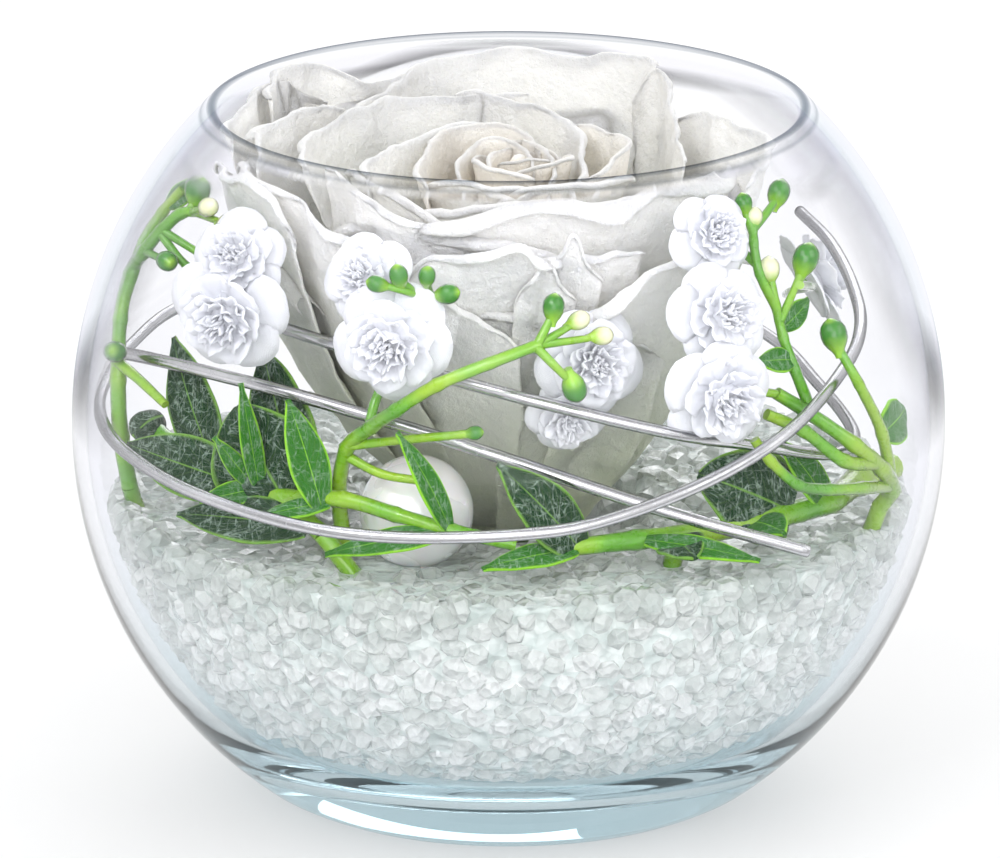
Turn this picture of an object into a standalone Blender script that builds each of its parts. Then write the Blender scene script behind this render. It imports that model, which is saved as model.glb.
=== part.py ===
"""Preserved white rose with baby's breath and waxy leaves, in a glass globe half filled with glass granules.

Every size is in metres. Places along stems, wires and petals are written in millimetres through at().
+Z is up, the camera side of the arrangement is -Y, and the origin is the middle of the globe's base.
"""
import math
import random

import bmesh
import bpy
from mathutils import Vector
from mathutils.geometry import delaunay_2d_cdt

# Globe
GLOBE_RADIUS = 0.060
EQUATOR_HEIGHT = 0.0517
UPPER_SEMI_AXIS = 0.0613
LOWER_SEMI_AXIS = 0.0608
GLOBE_HEIGHT = 0.0965
BASE_RADIUS = 0.031
WALL_AT_EQUATOR = 0.0020
WALL_AT_FLOOR = 0.0036
FLOOR_HEIGHT = 0.0078
FLOOR_CORNER = 0.022
LIP_RADIUS = 0.00115
BASE_EDGE = 0.0012
BASE_FLARE = 1.13
GLOBE_SIDES = 36
OUTER_ROWS = 9
INNER_ROWS = 7

# Granule filling
BED_LEVEL = 0.0423
BED_RELIEF = 0.0008
BED_WALL_GAP = 0.0008
GRANULE_SPACING = 0.0039
BED_SIDES = 48
BED_ROWS = 8
CORNER_ROWS = 4
POCKET_DEPTH = 0.0019
EDGE_POCKET = 0.0006
WELL_RADIUS = 0.0213
WELL_FLOOR = 0.0335
WELL_SIDES = 20
WELL_TAPER = 0.0045
CALYX_WELL_RADIUS = 0.0085
CALYX_WELL_FLOOR = 0.0290
STEM_WELL_RADIUS = 0.0030
STEM_WELL_FLOOR = 0.0230
HOLE_CLEARANCE = 0.0004

# Rose
HEART_CENTRE = (0.0015, -0.002)
PETAL_THICKNESS = 0.0008

# Wires, stems and leaves
WIRE_RADIUS = 0.00085
BAR_RADIUS = 0.0009
WIRE_STEP = 0.0110
NUB_RADIUS = 0.0021
THIN_STEM = 0.00085
LEAF_THICKNESS = 0.0009
BLOSSOM_PETAL_THICKNESS = 0.0007
PEARL_RADIUS = 0.0077
PEARL_CENTRE = (-0.0124, -0.0302, 0.0476)

# Joined meshes: smallest edge kept, and the angle in degrees under which faces count as flat
SLIVER_SIZE = 2e-6
FLAT_ANGLE = 1.2

COLOURS = {
    "glass": ((0.93, 0.95, 0.97), 0.02, 0.0),
    "granules": ((0.90, 0.93, 0.92), 0.10, 0.0),
    "petals": ((0.90, 0.89, 0.84), 0.60, 0.0),
    "calyx": ((0.30, 0.42, 0.20), 0.60, 0.0),
    "waxy_leaf": ((0.07, 0.17, 0.08), 0.45, 0.0),
    "bright_stem": ((0.22, 0.52, 0.06), 0.40, 0.0),
    "blossom": ((0.93, 0.94, 0.98), 0.80, 0.0),
    "wire": ((0.78, 0.78, 0.80), 0.25, 1.0),
    "pearl": ((0.90, 0.90, 0.90), 0.20, 0.0),
}


def at(x, y, z):
    """A place given in millimetres."""
    return Vector((x, y, z)) * 0.001


def clear_scene():
    for thing in list(bpy.data.objects):
        bpy.data.objects.remove(thing, do_unlink=True)


def finish_material(name):
    """The Principled material of one finish."""
    if name in bpy.data.materials:
        return bpy.data.materials[name]
    colour, roughness, metallic = COLOURS[name]
    material = bpy.data.materials.new(name)
    material.use_nodes = True
    shader = material.node_tree.nodes["Principled BSDF"]
    shader.inputs["Base Color"].default_value = (*colour, 1.0)
    shader.inputs["Roughness"].default_value = roughness
    shader.inputs["Metallic"].default_value = metallic
    return material


def add_piece(name, bm, finish, sharp_angle=40):
    """Turn a bmesh into a named object with its finish, faces outward and shaded smooth."""
    bmesh.ops.remove_doubles(bm, verts=bm.verts, dist=1e-6)
    bmesh.ops.recalc_face_normals(bm, faces=bm.faces)
    mesh = bpy.data.meshes.new(name)
    bm.to_mesh(mesh)
    bm.free()
    piece = bpy.data.objects.new(name, mesh)
    bpy.context.scene.collection.objects.link(piece)
    mesh.materials.append(finish_material(finish))
    mesh.shade_smooth()
    mesh.set_sharp_from_angle(angle=math.radians(sharp_angle))
    return piece


def union(name, shapes, finish, sharp_angle=40):
    """Fuse overlapping closed shapes into one body."""
    pieces = [add_piece(f"{name}_{i}", bm, finish) for i, bm in enumerate(shapes)]
    body = pieces[0]
    body.name = name
    body.data.name = name
    if len(pieces) == 1:
        return body
    others = bpy.data.collections.new(name + "_repeats")
    for piece in pieces[1:]:
        others.objects.link(piece)
        bpy.context.scene.collection.objects.unlink(piece)
    boolean = body.modifiers.new("fuse", "BOOLEAN")
    boolean.operation = "UNION"
    boolean.solver = "MANIFOLD"
    boolean.operand_type = "COLLECTION"
    boolean.collection = others
    apply_modifiers(body)
    for piece in list(others.objects):
        bpy.data.objects.remove(piece, do_unlink=True)
    bpy.data.collections.remove(others)
    drop_scraps(body)
    body.data.shade_smooth()
    body.data.set_sharp_from_angle(angle=math.radians(sharp_angle))
    return body


def apply_modifiers(body):
    """Replace an object's mesh by its evaluated one."""
    depsgraph = bpy.context.evaluated_depsgraph_get()
    mesh = bpy.data.meshes.new_from_object(body.evaluated_get(depsgraph))
    old = body.data
    body.modifiers.clear()
    body.data = mesh
    bpy.data.meshes.remove(old)
    mesh.name = body.name


def drop_scraps(body):
    """Keep only the largest connected body of a mesh, its slivers collapsed and its flat faces merged."""
    bm = bmesh.new()
    bm.from_mesh(body.data)
    bmesh.ops.remove_doubles(bm, verts=bm.verts, dist=SLIVER_SIZE)
    bmesh.ops.dissolve_degenerate(bm, edges=bm.edges, dist=SLIVER_SIZE)
    bmesh.ops.dissolve_limit(bm, angle_limit=math.radians(FLAT_ANGLE), verts=bm.verts, edges=bm.edges)
    bmesh.ops.triangulate(bm, faces=bm.faces)
    unseen = set(bm.faces)
    islands = []
    while unseen:
        stack = [unseen.pop()]
        island = list(stack)
        while stack:
            for edge in stack.pop().edges:
                for face in edge.link_faces if edge.is_manifold else ():
                    if face in unseen:
                        unseen.remove(face)
                        stack.append(face)
                        island.append(face)
        islands.append(island)
    islands.sort(key=len)
    for island in islands[:-1]:
        bmesh.ops.delete(bm, geom=island, context="FACES")
    bm.to_mesh(body.data)
    bm.free()


def turned(profile, sides):
    """A body turned about the vertical axis from (radius, height) points that start and end on the axis."""
    bm = bmesh.new()
    verts = [bm.verts.new((r, 0.0, z)) for r, z in profile]
    edges = [bm.edges.new(pair) for pair in zip(verts, verts[1:])]
    bmesh.ops.spin(bm, geom=verts + edges, cent=(0, 0, 0), axis=(0, 0, 1), angle=math.tau, steps=sides,
                   use_merge=True)
    bmesh.ops.remove_doubles(bm, verts=bm.verts, dist=1e-6)
    return bm


def smooth_route(points, step):
    """Points about a step apart on a Catmull-Rom curve through the given ones."""
    if len(points) < 3:
        count = max(1, round((points[1] - points[0]).length / step))
        return [points[0].lerp(points[1], i / count) for i in range(count + 1)]
    ends = [points[0] * 2 - points[1], *points, points[-1] * 2 - points[-2]]
    route = []
    for a, b, c, d in zip(ends, ends[1:], ends[2:], ends[3:]):
        count = max(1, round((c - b).length / step))
        for i in range(count):
            t = i / count
            route.append((b * 2 + (c - a) * t + (a * 2 - b * 5 + c * 4 - d) * t ** 2
                          + (b * 3 - a - c * 3 + d) * t ** 3) / 2)
    route.append(points[-1])
    return route


def stem(points, radius, tip_radius=None, sides=None, step=0.0085):
    """A round stem along a smooth route, tapering to its tip."""
    route = smooth_route(points, step)
    tip_radius = radius if tip_radius is None else tip_radius
    sides = sides or (4 if radius < THIN_STEM else 5)
    bm = bmesh.new()
    rings = []
    tangent = (route[1] - route[0]).normalized()
    side = tangent.orthogonal().normalized()
    for i, place in enumerate(route):
        ahead = route[min(i + 1, len(route) - 1)] - route[max(i - 1, 0)]
        side = (side - ahead * (side.dot(ahead) / ahead.length_squared)).normalized()
        other = ahead.normalized().cross(side)
        r = radius + (tip_radius - radius) * i / (len(route) - 1)
        turn = [math.tau * k / sides for k in range(sides)]
        rings.append([bm.verts.new(place + (side * math.cos(a) + other * math.sin(a)) * r) for a in turn])
    for low, high in zip(rings, rings[1:]):
        for k in range(sides):
            bm.faces.new((low[k], low[(k + 1) % sides], high[(k + 1) % sides], high[k]))
    bm.faces.new(rings[0][::-1])
    bm.faces.new(rings[-1])
    return bm


def bud(place, direction, radius, sides=5):
    """A round bud with a point at its outer end, on a short neck."""
    direction = direction.normalized()
    side = direction.orthogonal().normalized()
    other = direction.cross(side)
    bm = bmesh.new()
    rings = []
    for along, wide in ((-1.25, 0.35), (-0.45, 0.92), (0.5, 0.88)):
        centre = place + direction * radius * along
        rings.append([bm.verts.new(centre + (side * math.cos(math.tau * k / sides)
                                             + other * math.sin(math.tau * k / sides)) * radius * wide)
                      for k in range(sides)])
    for low, high in zip(rings, rings[1:]):
        for k in range(sides):
            bm.faces.new((low[k], low[(k + 1) % sides], high[(k + 1) % sides], high[k]))
    bm.faces.new(rings[0][::-1])
    point = bm.verts.new(place + direction * radius * 1.2)
    for k in range(sides):
        bm.faces.new((rings[-1][k], rings[-1][(k + 1) % sides], point))
    return bm


def slab(rows, thickness):
    """A closed sheet of even thickness around a grid of points, triangulated alike on both faces."""
    tall, wide = len(rows), len(rows[0])
    bm = bmesh.new()
    faces = {1: [], -1: []}
    for j in range(tall):
        for sign in faces:
            faces[sign].append([])
        for i in range(wide):
            along = rows[min(j + 1, tall - 1)][i] - rows[max(j - 1, 0)][i]
            across = rows[j][min(i + 1, wide - 1)] - rows[j][max(i - 1, 0)]
            normal = across.cross(along).normalized()
            for sign in faces:
                faces[sign][j].append(bm.verts.new(rows[j][i] + normal * thickness / 2 * sign))
    for sign, grid in faces.items():
        for j in range(tall - 1):
            for i in range(wide - 1):
                a, b, c, d = grid[j][i], grid[j][i + 1], grid[j + 1][i + 1], grid[j + 1][i]
                for corner in ((a, b, c), (a, c, d)):
                    bm.faces.new(corner[::sign])
    rim = [(0, i) for i in range(wide)] + [(j, wide - 1) for j in range(1, tall)]
    rim += [(tall - 1, i) for i in range(wide - 2, -1, -1)] + [(j, 0) for j in range(tall - 2, 0, -1)]
    for (j, i), (m, n) in zip(rim, rim[1:] + rim[:1]):
        a, b = faces[1][j][i], faces[1][m][n]
        c, d = faces[-1][m][n], faces[-1][j][i]
        bm.faces.new((b, a, d))
        bm.faces.new((b, d, c))
    return bm


def leaf(base, tip, facing, width, bow=0.1, fold=0.15, stalk=0.12, rows=5):
    """A pointed leaf with a folded midrib, its face turned to facing, arched by bow of its length."""
    length = tip - base
    side = length.cross(facing).normalized()
    face = side.cross(length).normalized()
    grid = []
    for j in range(rows):
        t = j / (rows - 1)
        swell = math.sin(math.pi * min(1.0, (t + stalk) / (1 + stalk)) ** 0.9) ** 0.85
        half = max(width / 2 * swell, 0.0006)
        centre = base + length * t + face * length.length * bow * math.sin(math.pi * t)
        lift = face * half * fold
        grid.append([centre - side * half + lift, centre, centre + side * half + lift])
    return slab(grid, LEAF_THICKNESS)


def outer_point(angle):
    """Radius and height on the globe's outer face, angle measured from the equator."""
    semi = UPPER_SEMI_AXIS if angle > 0 else LOWER_SEMI_AXIS
    return GLOBE_RADIUS * math.cos(angle), EQUATOR_HEIGHT + semi * math.sin(angle)


def outward(angle):
    """Unit normal (radius, height) of the globe's outer face."""
    semi = UPPER_SEMI_AXIS if angle > 0 else LOWER_SEMI_AXIS
    normal = Vector((math.cos(angle) / GLOBE_RADIUS, math.sin(angle) / semi))
    return normal.normalized()


def inner_point(angle, inset=0.0):
    """Radius and height on the globe's inner face, or inset from it, before the floor corner."""
    wall = WALL_AT_EQUATOR + (WALL_AT_FLOOR - WALL_AT_EQUATOR) * min(math.sin(angle), 0.0) ** 2
    r, z = outer_point(angle)
    normal = outward(angle)
    return r - normal.x * (wall + inset), z - normal.y * (wall + inset)


def floor_corner():
    """Angle on the inner face where the floor's corner starts, and the corner arc's centre."""
    angle = -0.4
    while True:
        r, z = inner_point(angle, FLOOR_CORNER)
        if z < FLOOR_HEIGHT + FLOOR_CORNER:
            return angle, r, FLOOR_HEIGHT + FLOOR_CORNER
        angle -= 0.002


def corner_arc(count, inset=0.0):
    """Points of the floor's corner, from the wall down to the floor."""
    start, r, z = floor_corner()
    normal = outward(start)
    first = math.atan2(normal.y, normal.x)
    turns = [first + (-math.pi / 2 - first) * i / count for i in range(count + 1)]
    radius = FLOOR_CORNER - inset
    return [(r + radius * math.cos(a), z + radius * math.sin(a)) for a in turns]


def lip_angle():
    """Angle on the outer face where the rounded lip starts."""
    angle = 0.6
    while outer_point(angle)[1] - outward(angle).y * LIP_RADIUS + LIP_RADIUS < GLOBE_HEIGHT:
        angle += 0.001
    return angle


def make_globe():
    """The pressed glass globe: thick base, thin wall and rounded lip."""
    top = lip_angle()
    bottom = -math.acos(BASE_FLARE * BASE_RADIUS / GLOBE_RADIUS)
    profile = [(0.0, 0.0), (BASE_RADIUS - BASE_EDGE, 0.0), (BASE_RADIUS, BASE_EDGE / 3)]
    profile += [outer_point(bottom + (top - bottom) * i / OUTER_ROWS) for i in range(OUTER_ROWS + 1)]
    lip_normal = outward(top)
    r, z = outer_point(top)
    first = math.atan2(lip_normal.y, lip_normal.x)
    middle = (r - lip_normal.x * LIP_RADIUS, z - lip_normal.y * LIP_RADIUS)
    profile += [(middle[0] + LIP_RADIUS * math.cos(first + math.pi * i / 4),
                 middle[1] + LIP_RADIUS * math.sin(first + math.pi * i / 4)) for i in range(1, 4)]
    start = floor_corner()[0]
    high = top - 0.02
    profile += [inner_point(high + (start - high) * i / INNER_ROWS) for i in range(INNER_ROWS)]
    profile += corner_arc(3)
    profile += [(0.0, FLOOR_HEIGHT)]
    return add_piece("glass_globe", turned(profile, GLOBE_SIDES), "glass", 30)


def bed_profile():
    """Radius and height of each row on the filling's side, from the level down to the floor."""
    level_angle = math.asin((BED_LEVEL - EQUATOR_HEIGHT) / LOWER_SEMI_AXIS)
    start = floor_corner()[0]
    side_rows = BED_ROWS - CORNER_ROWS
    fall = (start - level_angle) / side_rows
    rows = [inner_point(level_angle + fall * i, BED_WALL_GAP) for i in range(side_rows)]
    return rows + corner_arc(CORNER_ROWS - 1, BED_WALL_GAP)


def make_granules(feet):
    """The filling, one body whose faces are raised into granules, with holes for what stands in it."""
    draw = random.Random(7)
    bm = bmesh.new()
    rings = []
    for j, (r, z) in enumerate(bed_profile()):
        ring = []
        for i in range(BED_SIDES):
            turn = math.tau * (i + 0.5 * (j % 2)) / BED_SIDES
            pocket = 0.0 if (i + j) % 3 == 0 else POCKET_DEPTH * draw.uniform(0.4, 1.0)
            if j == 0:
                pocket = EDGE_POCKET
            scale = (r - pocket) / r
            ring.append(bm.verts.new((r * scale * math.cos(turn), r * scale * math.sin(turn), z)))
        rings.append(ring)
    for j, (high, low) in enumerate(zip(rings, rings[1:])):
        for i in range(BED_SIDES):
            k = (i + 1) % BED_SIDES
            if j % 2 == 0:
                bm.faces.new((high[i], low[i], high[k]))
                bm.faces.new((high[k], low[i], low[k]))
            else:
                bm.faces.new((high[i], low[i], low[k]))
                bm.faces.new((high[i], low[k], high[k]))
    bm.faces.new(rings[-1])
    edge = [vert.co.xy.copy() for vert in rings[0]]
    well = [Vector((math.cos(math.tau * i / WELL_SIDES), math.sin(math.tau * i / WELL_SIDES))) * WELL_RADIUS
            for i in range(WELL_SIDES)]
    inside = granule_places(draw)
    loops = [(i, (i + 1) % BED_SIDES) for i in range(BED_SIDES)]
    loops += [(BED_SIDES + i, BED_SIDES + (i + 1) % WELL_SIDES) for i in range(WELL_SIDES)]
    places = edge + well + [xy for xy, _ in inside]
    coords, _, faces, origins, _, _ = delaunay_2d_cdt(places, loops, [], 0, 1e-7)
    heights = [0.0] * (BED_SIDES + WELL_SIDES) + [lift for _, lift in inside]
    top = []
    for xy, origin in zip(coords, origins):
        source = origin[0]
        top.append(rings[0][source] if source < BED_SIDES
                   else bm.verts.new((xy.x, xy.y, BED_LEVEL + heights[source])))
    rim = [top[origins_index(origins, BED_SIDES + i)] for i in range(WELL_SIDES)]
    for face in faces:
        middle = sum((coords[i] for i in face), Vector((0, 0))) / len(face)
        if middle.length > WELL_RADIUS * math.cos(math.pi / WELL_SIDES) * 0.999:
            bm.faces.new([top[i] for i in face])
    sink_well(bm, rim)
    bed = add_piece("granule_filling", bm, "granules", 20)
    for (low, high), radius, _ in feet:
        axis = (high - low).normalized()
        hole = [low - axis * HOLE_CLEARANCE, high + axis * 0.002]
        cut_away(bed, add_piece("hole", stem(hole, radius + HOLE_CLEARANCE, sides=8, step=1.0), "granules"))
    make_pearl_seat(bed)
    return bed


def origins_index(origins, source):
    """Position of a source point in the triangulation's output."""
    return next(i for i, origin in enumerate(origins) if source in origin)


def granule_places(draw):
    """Places on the level between the well and the wall: a raised middle and low corners for each granule."""
    places = []
    row_gap = GRANULE_SPACING * math.sqrt(3) / 2
    reach = bed_profile()[0][0] - 0.0024
    count = int(reach / GRANULE_SPACING) + 2
    for j in range(-count, count + 1):
        for i in range(-count - abs(j), count + abs(j) + 1):
            x = (i + 0.5 * j) * GRANULE_SPACING
            y = j * row_gap
            raised = (i - j) % 3 == 0
            lift = BED_RELIEF * (1.0 if raised else -1.0) * draw.uniform(0.6, 1.0)
            x += draw.uniform(-0.2, 0.2) * GRANULE_SPACING
            y += draw.uniform(-0.2, 0.2) * GRANULE_SPACING
            if WELL_RADIUS + 0.0016 < math.hypot(x, y) < reach:
                places.append((Vector((x, y)), lift))
    return places


def sink_well(bm, rim):
    """The plain hole for the rose: a wide cup, a step for the calyx and a bore for the stem."""
    steps = [(WELL_RADIUS - WELL_TAPER, WELL_FLOOR), (CALYX_WELL_RADIUS, WELL_FLOOR),
             (CALYX_WELL_RADIUS, CALYX_WELL_FLOOR), (STEM_WELL_RADIUS, CALYX_WELL_FLOOR),
             (STEM_WELL_RADIUS, STEM_WELL_FLOOR)]
    upper = rim
    turns = [math.tau * i / WELL_SIDES for i in range(WELL_SIDES)]
    for r, z in steps:
        lower = [bm.verts.new((r * math.cos(turn), r * math.sin(turn), z)) for turn in turns]
        for i in range(WELL_SIDES):
            k = (i + 1) % WELL_SIDES
            bm.faces.new((upper[i], upper[k], lower[k], lower[i]))
        upper = lower
    bm.faces.new(upper)


def cut_away(body, cutter):
    """Take a cutter's volume out of a body and remove the cutter."""
    cutter.hide_render = True
    cutter.display_type = "WIRE"
    boolean = body.modifiers.new("cut", "BOOLEAN")
    boolean.operation = "DIFFERENCE"
    boolean.solver = "EXACT"
    boolean.object = cutter
    apply_modifiers(body)
    bpy.data.objects.remove(cutter, do_unlink=True)


# Petals: azimuth (0 = front, 90 = right), half width in degrees, root, belly and lip as (radius, height) in
# millimetres, outward roll of the lip, and how far the lip's corners drop as a share of the petal.
HEART_RINGS = [
    # count, first azimuth, half width, root, belly, lip, roll, drop, lean
    (2, 20, 96, (1.6, 78.0), (3.4, 84.0), (3.6, 90.0), 0.3, 0.10, 0.9),
    (3, 60, 76, (5.0, 77.0), (7.2, 83.0), (7.4, 90.4), 0.5, 0.12, 1.1),
    (4, 10, 62, (8.5, 75.5), (11.6, 82.0), (12.0, 91.0), 0.8, 0.14, 1.3),
    (5, 40, 52, (13.0, 71.5), (17.2, 79.0), (17.6, 91.4), 1.2, 0.16, 1.4),
    (5, 5, 50, (16.5, 66.0), (23.0, 74.0), (23.6, 91.0), 1.8, 0.18, 1.5),
]
OUTER_PETALS = [
    # azimuth, half width, root, belly, lip, roll, drop, lean
    (182, 40, (17.5, 58.0), (27.0, 72.0), (31.5, 97.6), 3.0, 0.16, 1.5),
    (234, 33, (17.5, 58.0), (27.5, 72.0), (34.0, 97.0), 3.2, 0.20, 1.5),
    (285, 36, (17.5, 56.0), (27.5, 70.0), (34.0, 91.0), 3.2, 0.18, 1.5),
    (338, 42, (17.5, 54.0), (27.0, 68.0), (31.0, 87.0), 3.0, 0.16, 1.5),
    (32, 44, (17.5, 54.0), (26.5, 68.0), (29.5, 88.5), 3.2, 0.16, 1.5),
    (84, 36, (17.5, 56.0), (27.0, 70.0), (30.0, 91.5), 2.6, 0.18, 1.5),
    (130, 26, (17.5, 58.0), (27.0, 72.0), (28.5, 96.0), 1.5, 0.30, 1.5),
    (205, 44, (15.5, 46.0), (28.0, 62.0), (35.5, 90.0), 3.2, 0.18, 1.4),
    (268, 42, (15.0, 43.0), (28.0, 60.0), (36.5, 88.5), 3.2, 0.20, 1.4),
    (322, 42, (14.5, 41.0), (26.5, 56.0), (33.5, 82.5), 3.0, 0.20, 1.4),
    (20, 46, (14.5, 41.0), (25.5, 56.0), (31.0, 81.0), 3.0, 0.18, 1.4),
    (76, 42, (15.0, 43.0), (25.5, 58.0), (32.0, 84.0), 2.8, 0.20, 1.4),
    (142, 44, (15.0, 44.0), (26.5, 60.0), (33.5, 88.0), 3.0, 0.18, 1.4),
]
ROSE_CORE = [(0.0, 36.5), (8.0, 36.5), (13.5, 38.5), (17.8, 44.0), (20.4, 54.0), (21.0, 64.0),
             (18.5, 72.0), (10.0, 79.0), (0.0, 82.0)]
HEART_BUD = [(0.0, 78.0), (2.4, 78.0), (2.6, 84.0), (1.7, 89.0), (0.0, 89.8)]
CALYX_CUP = [(0.0, 24.0), (2.2, 24.0), (2.4, 30.0), (4.8, 32.0), (6.6, 34.0), (7.0, 36.0), (0.0, 36.0)]
SEPALS = 5
# radius and height of a sepal's root and tip
SEPAL_ROOT = (0.0045, 0.0345)
SEPAL_TIP = (0.0125, 0.0355)
SEPAL_WIDTH = 0.0050


def petal_rows(azimuth, half_width, root, belly, lip, roll, drop, lean, centre, wide, tall):
    """Grid of points on one cupped petal, its lip rounded and rolled, one side tucked under the next."""
    rows = []
    for j in range(tall + 1):
        v = j / tall
        curl = max(0.0, (v - 0.72) / 0.28) ** 2
        opening = 0.50 + 0.50 * math.sin(math.pi / 2 * min(1.0, v / 0.65))
        row = []
        for i in range(wide + 1):
            s = 2 * i / wide - 1
            t = v * (1 - drop * abs(s) ** 2.6 * v)
            r = root[0] * (1 - t) ** 2 + 2 * belly[0] * t * (1 - t) + lip[0] * t ** 2
            z = root[1] * (1 - t) ** 2 + 2 * belly[1] * t * (1 - t) + lip[1] * t ** 2
            r += roll * curl + lean * s * v
            z -= roll * 0.45 * curl
            turn = math.radians(azimuth + half_width * opening * s)
            row.append(at(r * math.sin(turn), -r * math.cos(turn), z) + centre)
        rows.append(row)
    return rows


def make_bloom():
    """The rose: a closed heart and rings of petals, rooted in one core."""
    middle = Vector((0.0, 0.0, 0.0))
    heart = Vector((*HEART_CENTRE, 0.0))
    core = turned([(r * 0.001, z * 0.001) for r, z in ROSE_CORE], 14)
    closed = turned([(r * 0.001, z * 0.001) for r, z in HEART_BUD], 7)
    bmesh.ops.translate(closed, verts=closed.verts, vec=heart)
    shapes = [core, closed]
    for ring, (count, first, half, root, belly, lip, roll, drop, lean) in enumerate(HEART_RINGS):
        centre = heart.lerp(middle, ring / (len(HEART_RINGS) - 1))
        for k in range(count):
            rows = petal_rows(first + 360 * k / count, half, root, belly, lip, roll, drop, lean, centre, 3, 2)
            shapes.append(slab(rows, PETAL_THICKNESS))
    for petal in OUTER_PETALS:
        shapes.append(slab(petal_rows(*petal, middle, 4, 3), PETAL_THICKNESS))
    return union("rose_bloom", shapes, "petals")


def make_calyx():
    """The green cup and short stem under the bloom, with five sepals."""
    shapes = [turned([(r * 0.001, z * 0.001) for r, z in CALYX_CUP], 14)]
    for k in range(SEPALS):
        turn = math.tau * (k + 0.3) / SEPALS
        away = Vector((math.sin(turn), -math.cos(turn), 0.0))
        base = away * SEPAL_ROOT[0] + Vector((0, 0, SEPAL_ROOT[1]))
        tip = away * SEPAL_TIP[0] + Vector((0, 0, SEPAL_TIP[1]))
        shapes.append(leaf(base, tip, Vector((0, 0, 1)), SEPAL_WIDTH, bow=-0.04, fold=0.0, rows=4))
    return union("rose_calyx", shapes, "calyx")


# Waxy leaf sprigs: stems as (points, radius, tip radius), leaves as (base, tip, facing, width, bow, fold)
FRONT = Vector((0.0, -1.0, 0.35))
LEFT_SPRIG_STEMS = [
    ([at(-49.3, -9.4, 54.0), at(-45.5, -14.0, 52.2), at(-39.0, -22.0, 50.5), at(-31.0, -30.0, 49.8),
      at(-22.0, -36.8, 51.2), at(-15.0, -40.6, 50.2), at(-8.0, -42.2, 48.6), at(1.0, -42.5, 46.6)],
     0.0014, 0.0009),
    ([at(-30.5, -30.5, 49.7), at(-25.0, -35.5, 46.0)], 0.0013, 0.0013),
]
LEFT_SPRIG_FOOT = ([at(-17.0, -38.5, 36.0), at(-25.0, -35.5, 46.0)], 0.0013, 0.0013)
LEFT_SPRIG_NUB = [at(-48.2, -8.8, 53.8), at(-50.0, -12.4, 54.2)]
LEFT_SPRIG_LEAVES = [
    (at(-35.5, -26.0, 50.0), at(-51.6, -14.5, 52.6), FRONT + Vector((-0.5, 0, 0)), 0.0085, 0.05, 0.1),
    (at(-39.5, -20.5, 50.6), at(-45.6, -5.2, 65.0), FRONT + Vector((-0.6, 0, 0)), 0.0076, 0.04, 0.1),
    (at(-30.0, -30.5, 49.2), at(-36.5, -27.5, 61.6), FRONT + Vector((-0.4, 0, 0)), 0.0150, 0.06, 0.05),
    (at(-27.5, -30.0, 49.6), at(-33.0, -20.0, 67.0), FRONT + Vector((-0.6, 0, 0)), 0.0100, 0.02, 0.1),
    (at(-27.0, -34.6, 46.8), at(-44.5, -28.0, 46.6), FRONT + Vector((0, 0, 0.4)), 0.0070, 0.02, 0.1),
    (at(-25.2, -36.2, 50.2), at(-29.6, -34.8, 64.6), FRONT + Vector((0.3, 0, 0)), 0.0056, 0.03, 0.15),
    (at(-24.0, -36.0, 50.4), at(-33.5, -36.5, 48.6), FRONT + Vector((0, 0, 0.8)), 0.0030, 0.03, 0.1),
    (at(-33.5, -29.5, 50.5), at(-35.8, -33.5, 66.5), FRONT, 0.0030, 0.03, 0.15),
    (at(-34.0, -28.8, 50.4), at(-41.5, -32.0, 49.6), FRONT, 0.0034, 0.05, 0.1),
    (at(-34.5, -29.0, 51.0), at(-39.5, -31.5, 58.4), FRONT, 0.0028, 0.05, 0.1),
    (at(-8.0, -42.4, 48.8), at(-14.8, -46.5, 63.4), FRONT + Vector((0.5, 0, 0)), 0.0036, 0.05, 0.2),
    (at(-8.5, -42.6, 48.2), at(-24.5, -44.0, 45.6), FRONT + Vector((0, 0, 0.8)), 0.0040, 0.03, 0.1),
]
RIGHT_SPRIG_STEMS = [
    ([at(52.4, -6.5, 47.0), at(47.5, -13.0, 46.8), at(43.5, -20.5, 46.4), at(36.0, -27.5, 46.0),
      at(27.0, -33.5, 45.8), at(17.0, -37.0, 45.6), at(8.0, -40.0, 45.4)], 0.0020, 0.0012),
]
RIGHT_SPRIG_FOOT = ([at(20.5, -32.0, 35.0), at(23.0, -35.0, 45.6)], 0.0013, 0.0013)
RIGHT_SPRIG_LEAVES = [
    (at(38.0, -26.5, 46.5), at(25.5, -31.5, 53.2), FRONT + Vector((0.2, 0, 0.2)), 0.0130, 0.05, 0.08),
    (at(33.0, -30.5, 46.0), at(37.0, -37.0, 46.4), FRONT + Vector((0, 0, 1.0)), 0.0060, 0.05, 0.08),
    (at(43.0, -22.0, 46.0), at(36.3, -26.0, 56.5), FRONT + Vector((0.7, 0, 0)), 0.0048, 0.06, 0.2),
    (at(22.0, -36.4, 45.4), at(25.0, -44.6, 45.2), FRONT + Vector((0, 0, 0.8)), 0.0068, 0.04, 0.1),
    (at(18.5, -38.0, 45.8), at(33.5, -44.6, 45.0), FRONT + Vector((0, 0, 0.6)), 0.0034, 0.03, 0.2),
    (at(9.5, -39.8, 45.2), at(-1.5, -45.5, 58.6), FRONT + Vector((0.3, 0, 0.1)), 0.0078, 0.05, 0.15),
    (at(9.0, -40.5, 45.2), at(-3.5, -48.0, 44.8), FRONT + Vector((0, 0, 0.8)), 0.0040, 0.03, 0.1),
]

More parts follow.
